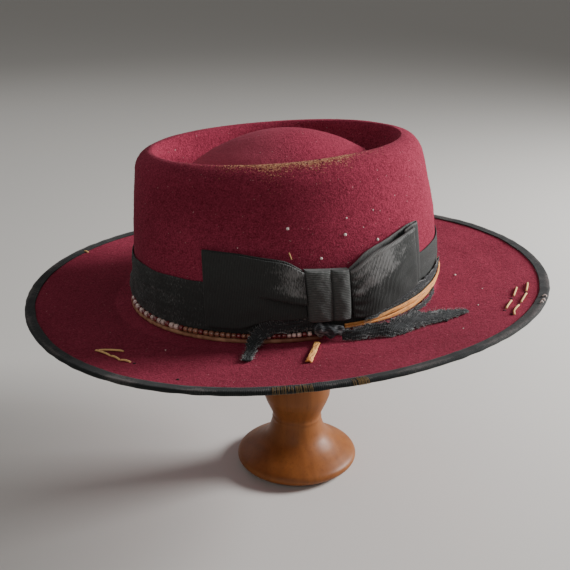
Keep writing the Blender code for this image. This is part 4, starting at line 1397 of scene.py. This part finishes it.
# A stitch is a tube through its points that dives into the felt at both ends.
def stitchPath(points, lift, place):
    if len(points) > 2:
        fine = smoothRows(points, np.linspace(0, 1, 16))
    else:
        fine = np.linspace(points[0], points[1], 16)
    arch = lift * np.sin(np.linspace(0, np.pi, 16)) ** 0.4
    return toRow(place(fine[:, 0], fine[:, 1], arch))


# Several tubes as one piece, each closed at its two ends.
def joinSections(name, tubes, finish, slot):
    points, faces, start = [], [], 0
    for tube in tubes:
        count, around = tube.shape[:2]
        faces += [part + start for part in stripFaces(count, around)]
        points.append(tube.reshape(-1, 3))
        start += count * around
    addPiece(name, makeMesh(name, np.concatenate(points), faces), finish, slot)


# Points on the crown's wall, named in the order that stitchPath uses.
def onWall(theta, height, lift):
    return onHat(theta, lift, height)


# Straw stitches and a sliver in the felt, and white stitches over the binding.
def addStitches():
    upward = np.array([0.0, 0.0, 1.0])
    tubes = []
    for points in marks["brimStitches"]:
        tubes.append(tubeSections(stitchPath(points, 0.0009, onBrim), marks["stitchRadius"], upward, 8))
    sliver = stitchPath(marks["sliver"], 0.0004, onWall)
    tubes.append(tubeSections(sliver, marks["sliverRadius"], np.array([0.3, 1.0, 0.0]), 8))
    joinSections("straw_stitches", tubes, plainFinish("strawThread", marks["straw"]), "lace")
    white = []
    for points in marks["bindingStitches"]:
        path = stitchPath(points, hat["felt"], onBrim)
        white.append(tubeSections(path, marks["whiteRadius"], upward, 8))
    joinSections("binding_white_stitches", white, plainFinish("whiteThread", marks["pale"]), "beads")


# Threads whipped round the binding, over the top, round the edge and back under.
def addWraps():
    for index, (start, end, brightness) in enumerate(marks["wraps"]):
        tubes = []
        rng = np.random.default_rng(90 + index)
        half = hat["felt"] / 2 + hat["gap"] + bindingLook["thickness"] + 0.00022
        for theta in np.arange(start, end, marks["wrapStep"]):
            reach = bindingLook["reach"] * rng.uniform(0.30, 0.85)
            bend = np.radians(np.linspace(90, -90, 9))
            out = np.concatenate([[-reach, -reach * 0.5], half * np.cos(bend), [-reach * 0.5, -reach]])
            up = np.concatenate([[half, half], half * np.sin(bend), [-half, -half]])
            slant = np.linspace(-0.12, 0.12, len(out)) + rng.normal(0, 0.05)
            angle = theta + slant
            share = 1 + out / brimReach(angle)
            flat = onBrim(angle, np.minimum(share, 1.0))
            away = np.stack([np.cos(np.radians(angle)), np.sin(np.radians(angle)), 0 * angle], -1)
            path = flat + away * np.maximum(out, 0)[:, None]
            path[:, 2] += up - hat["felt"] / 2
            along = np.gradient(path, axis=0)
            if rng.random() < marks["wrapShare"]:
                across = np.cross(along, away + [0, 0, 0.5])
                tubes.append(tubeSections(toRow(path), marks["wrapRadius"], across, 6))
        colour = [c * brightness for c in marks["wrapColour"]]
        name = ("binding_wraps_left", "binding_wraps_right")[index]
        joinSections(name, tubes, plainFinish("wrapThread", colour), "binding")


# Small lumps: a ball of a few rings, flattened towards the felt and sunk halfway in.
def addLumps(name, places, normals, sizes, finish, slot, flat):
    around, rows = 10, 7
    turn = circle(around)
    rise = np.radians(np.linspace(-80, 80, rows))[:, None]
    wide = np.cos(rise) * (1 + 0.16 * ripple(97, turn / (2 * np.pi), rise, 8, 3))
    ball = np.stack([wide * np.cos(turn), wide * np.sin(turn), np.sin(rise) * flat + 0 * turn], -1)
    shape = np.concatenate([ball.reshape(-1, 3), [[0, 0, -flat], [0, 0, flat]]])
    faces = [gridFaces(rows, around, False, True), *poleFans(rows, around)]
    side = unit(np.cross(normals, [0.0, 0.31, 0.95]) + 1e-6)
    axes = np.stack([side, np.cross(normals, side), normals], 1) * np.asarray(sizes)[:, None, None]
    addPiece(name, scatterMesh(name, shape, faces, places, axes), finish, slot)


# Pale specks that stick to the felt, and black lumps as painted shade in the holes of the stitches.
def addSpecks():
    brim = np.array(marks["brimSpecks"])
    crown = np.array(marks["crownSpecks"])
    onFelt = [onBrim(brim[:, 0], brim[:, 1], 0.0002), onHat(crown[:, 0], 0.0002, crown[:, 1])]
    places = np.concatenate(onFelt)
    away = onHat(crown[:, 0], 0.01, crown[:, 1]) - onHat(crown[:, 0], 0.0, crown[:, 1])
    normals = np.concatenate([np.tile([0.0, 0.0, 1.0], (len(brim), 1)), unit(away)])
    sizes = np.concatenate([brim[:, 2], crown[:, 2]])
    turned = turnToRow(places, normals)
    finish = plainFinish("speck", marks["pale"], 0.6)
    addLumps("felt_specks", toRow(places), turned, sizes, finish, "felt", 0.6)
    # Black lumps sunk in the brim stand for the shade inside the stitch holes: painted shade.
    holes = np.array(marks["brimHoles"])
    places = toRow(onBrim(holes[:, 0], holes[:, 1], 0.0001))
    normals = np.tile([0.0, 0.0, 1.0], (len(holes), 1))
    finish = plainFinish("holeShade", marks["holeShadeColour"])
    sizes = np.full(len(holes), marks["holeRadius"])
    addLumps("painted_stitch_hole_shade", places, normals, sizes, finish, "felt", 0.3)


addStitches()
addWraps()
addSpecks()
print("stitches and specks ready")

stand = {
    "profile": (
        (0.0, 0.0330),
        (0.0010, 0.0366),
        (0.0030, 0.0406),
        (0.0060, 0.0426),
        (0.0090, 0.0416),
        (0.0120, 0.0372),
        (0.0150, 0.0318),
        (0.0180, 0.0272),
        (0.0220, 0.0228),
        (0.0260, 0.0202),
        (0.0300, 0.0187),
        (0.0340, 0.0176),
        (0.0375, 0.0170),
        (0.0410, 0.0179),
        (0.0455, 0.0199),
        (0.0510, 0.0222),
        (0.0575, 0.0235),
    ),
    "ridgeHeight": 0.0362,
    "ridge": 0.0005,
    "ridgeWidth": 0.0011,
    "rings": 190,
    "around": 96,
    "colours": ((0.195, 0.062, 0.015), (0.300, 0.105, 0.026)),
}


# Turned wood: warped bands and broad patches between two browns, with thin dark fibres.
def standFinish():
    wood = Finish("turnedWood", roughness=0.45, specular=0.28)
    spot = wood.place()
    warped = wood.stretched(spot, (1.0, 1.0, 0.10))
    waves = {"Vector": warped, "Scale": 30.0, "Distortion": 9.0, "Detail": 3.0, "Detail Scale": 1.6}
    rings = wood.node("TexWave", {"wave_type": "BANDS", "bands_direction": "X"}, waves)
    fibres = wood.noise(wood.stretched(spot, (1.0, 1.0, 0.05)), 600, 4, 0.65)
    broad = wood.noise(wood.stretched(spot, (1.0, 1.0, 0.35)), 40, 3)
    dark, light = stand["colours"]
    colour = wood.mix(rings * 0.28 + broad * 0.60, dark, light)
    wood.set("color", wood.mix(wood.step(fibres, 0.50, 0.70) * 0.30, colour, [c * 0.55 for c in dark]))
    wood.set("roughness", wood.noise(spot, 120, 3) * 0.16 + 0.38)
    wood.set("normal", wood.bump(fibres, 0.00006, 0.3))
    return wood.material


# The stand is turned: the radius follows the profile's smooth curve, with the solid's own outline
# above the cup, so that its head stays under the felt.
def addStand():
    node = frame["nodes"]["wooden_stand"]
    points = np.zeros(len(node.data.vertices) * 3)
    node.data.vertices.foreach_get("co", points)
    points = points.reshape(-1, 3)
    heights = np.round(points[:, 2], 5)
    levels = np.unique(heights)
    widths = np.array([np.hypot(*points[heights == level, :2].T).max() for level in levels])
    top = levels[-1]
    inside = levels > stand["profile"][-1][0] + 0.004
    upper = np.stack([levels[inside], widths[inside]], 1)[:-1]
    rows = np.concatenate([np.array(stand["profile"]), upper])
    fine = smoothRows(rows, np.linspace(0, 1, stand["rings"]))
    fine[:, 1] += stand["ridge"] * bell(fine[:, 0] - stand["ridgeHeight"], stand["ridgeWidth"])
    turn = circle(stand["around"])
    radius, height = fine[:, 1:2], np.clip(fine[:, :1], 0, top - 0.00005) + 0 * turn
    rings = np.stack([radius * np.cos(turn), radius * np.sin(turn), height], -1)
    mesh = ringMesh("stand", rings, np.array([0, 0, 0.0]), np.array([0, 0, top]))
    mesh.set_sharp_from_angle(angle=math.radians(50))
    addPiece("turned_stand", mesh, standFinish(), "wood", "wooden_stand")


addStand()
print("stand ready")
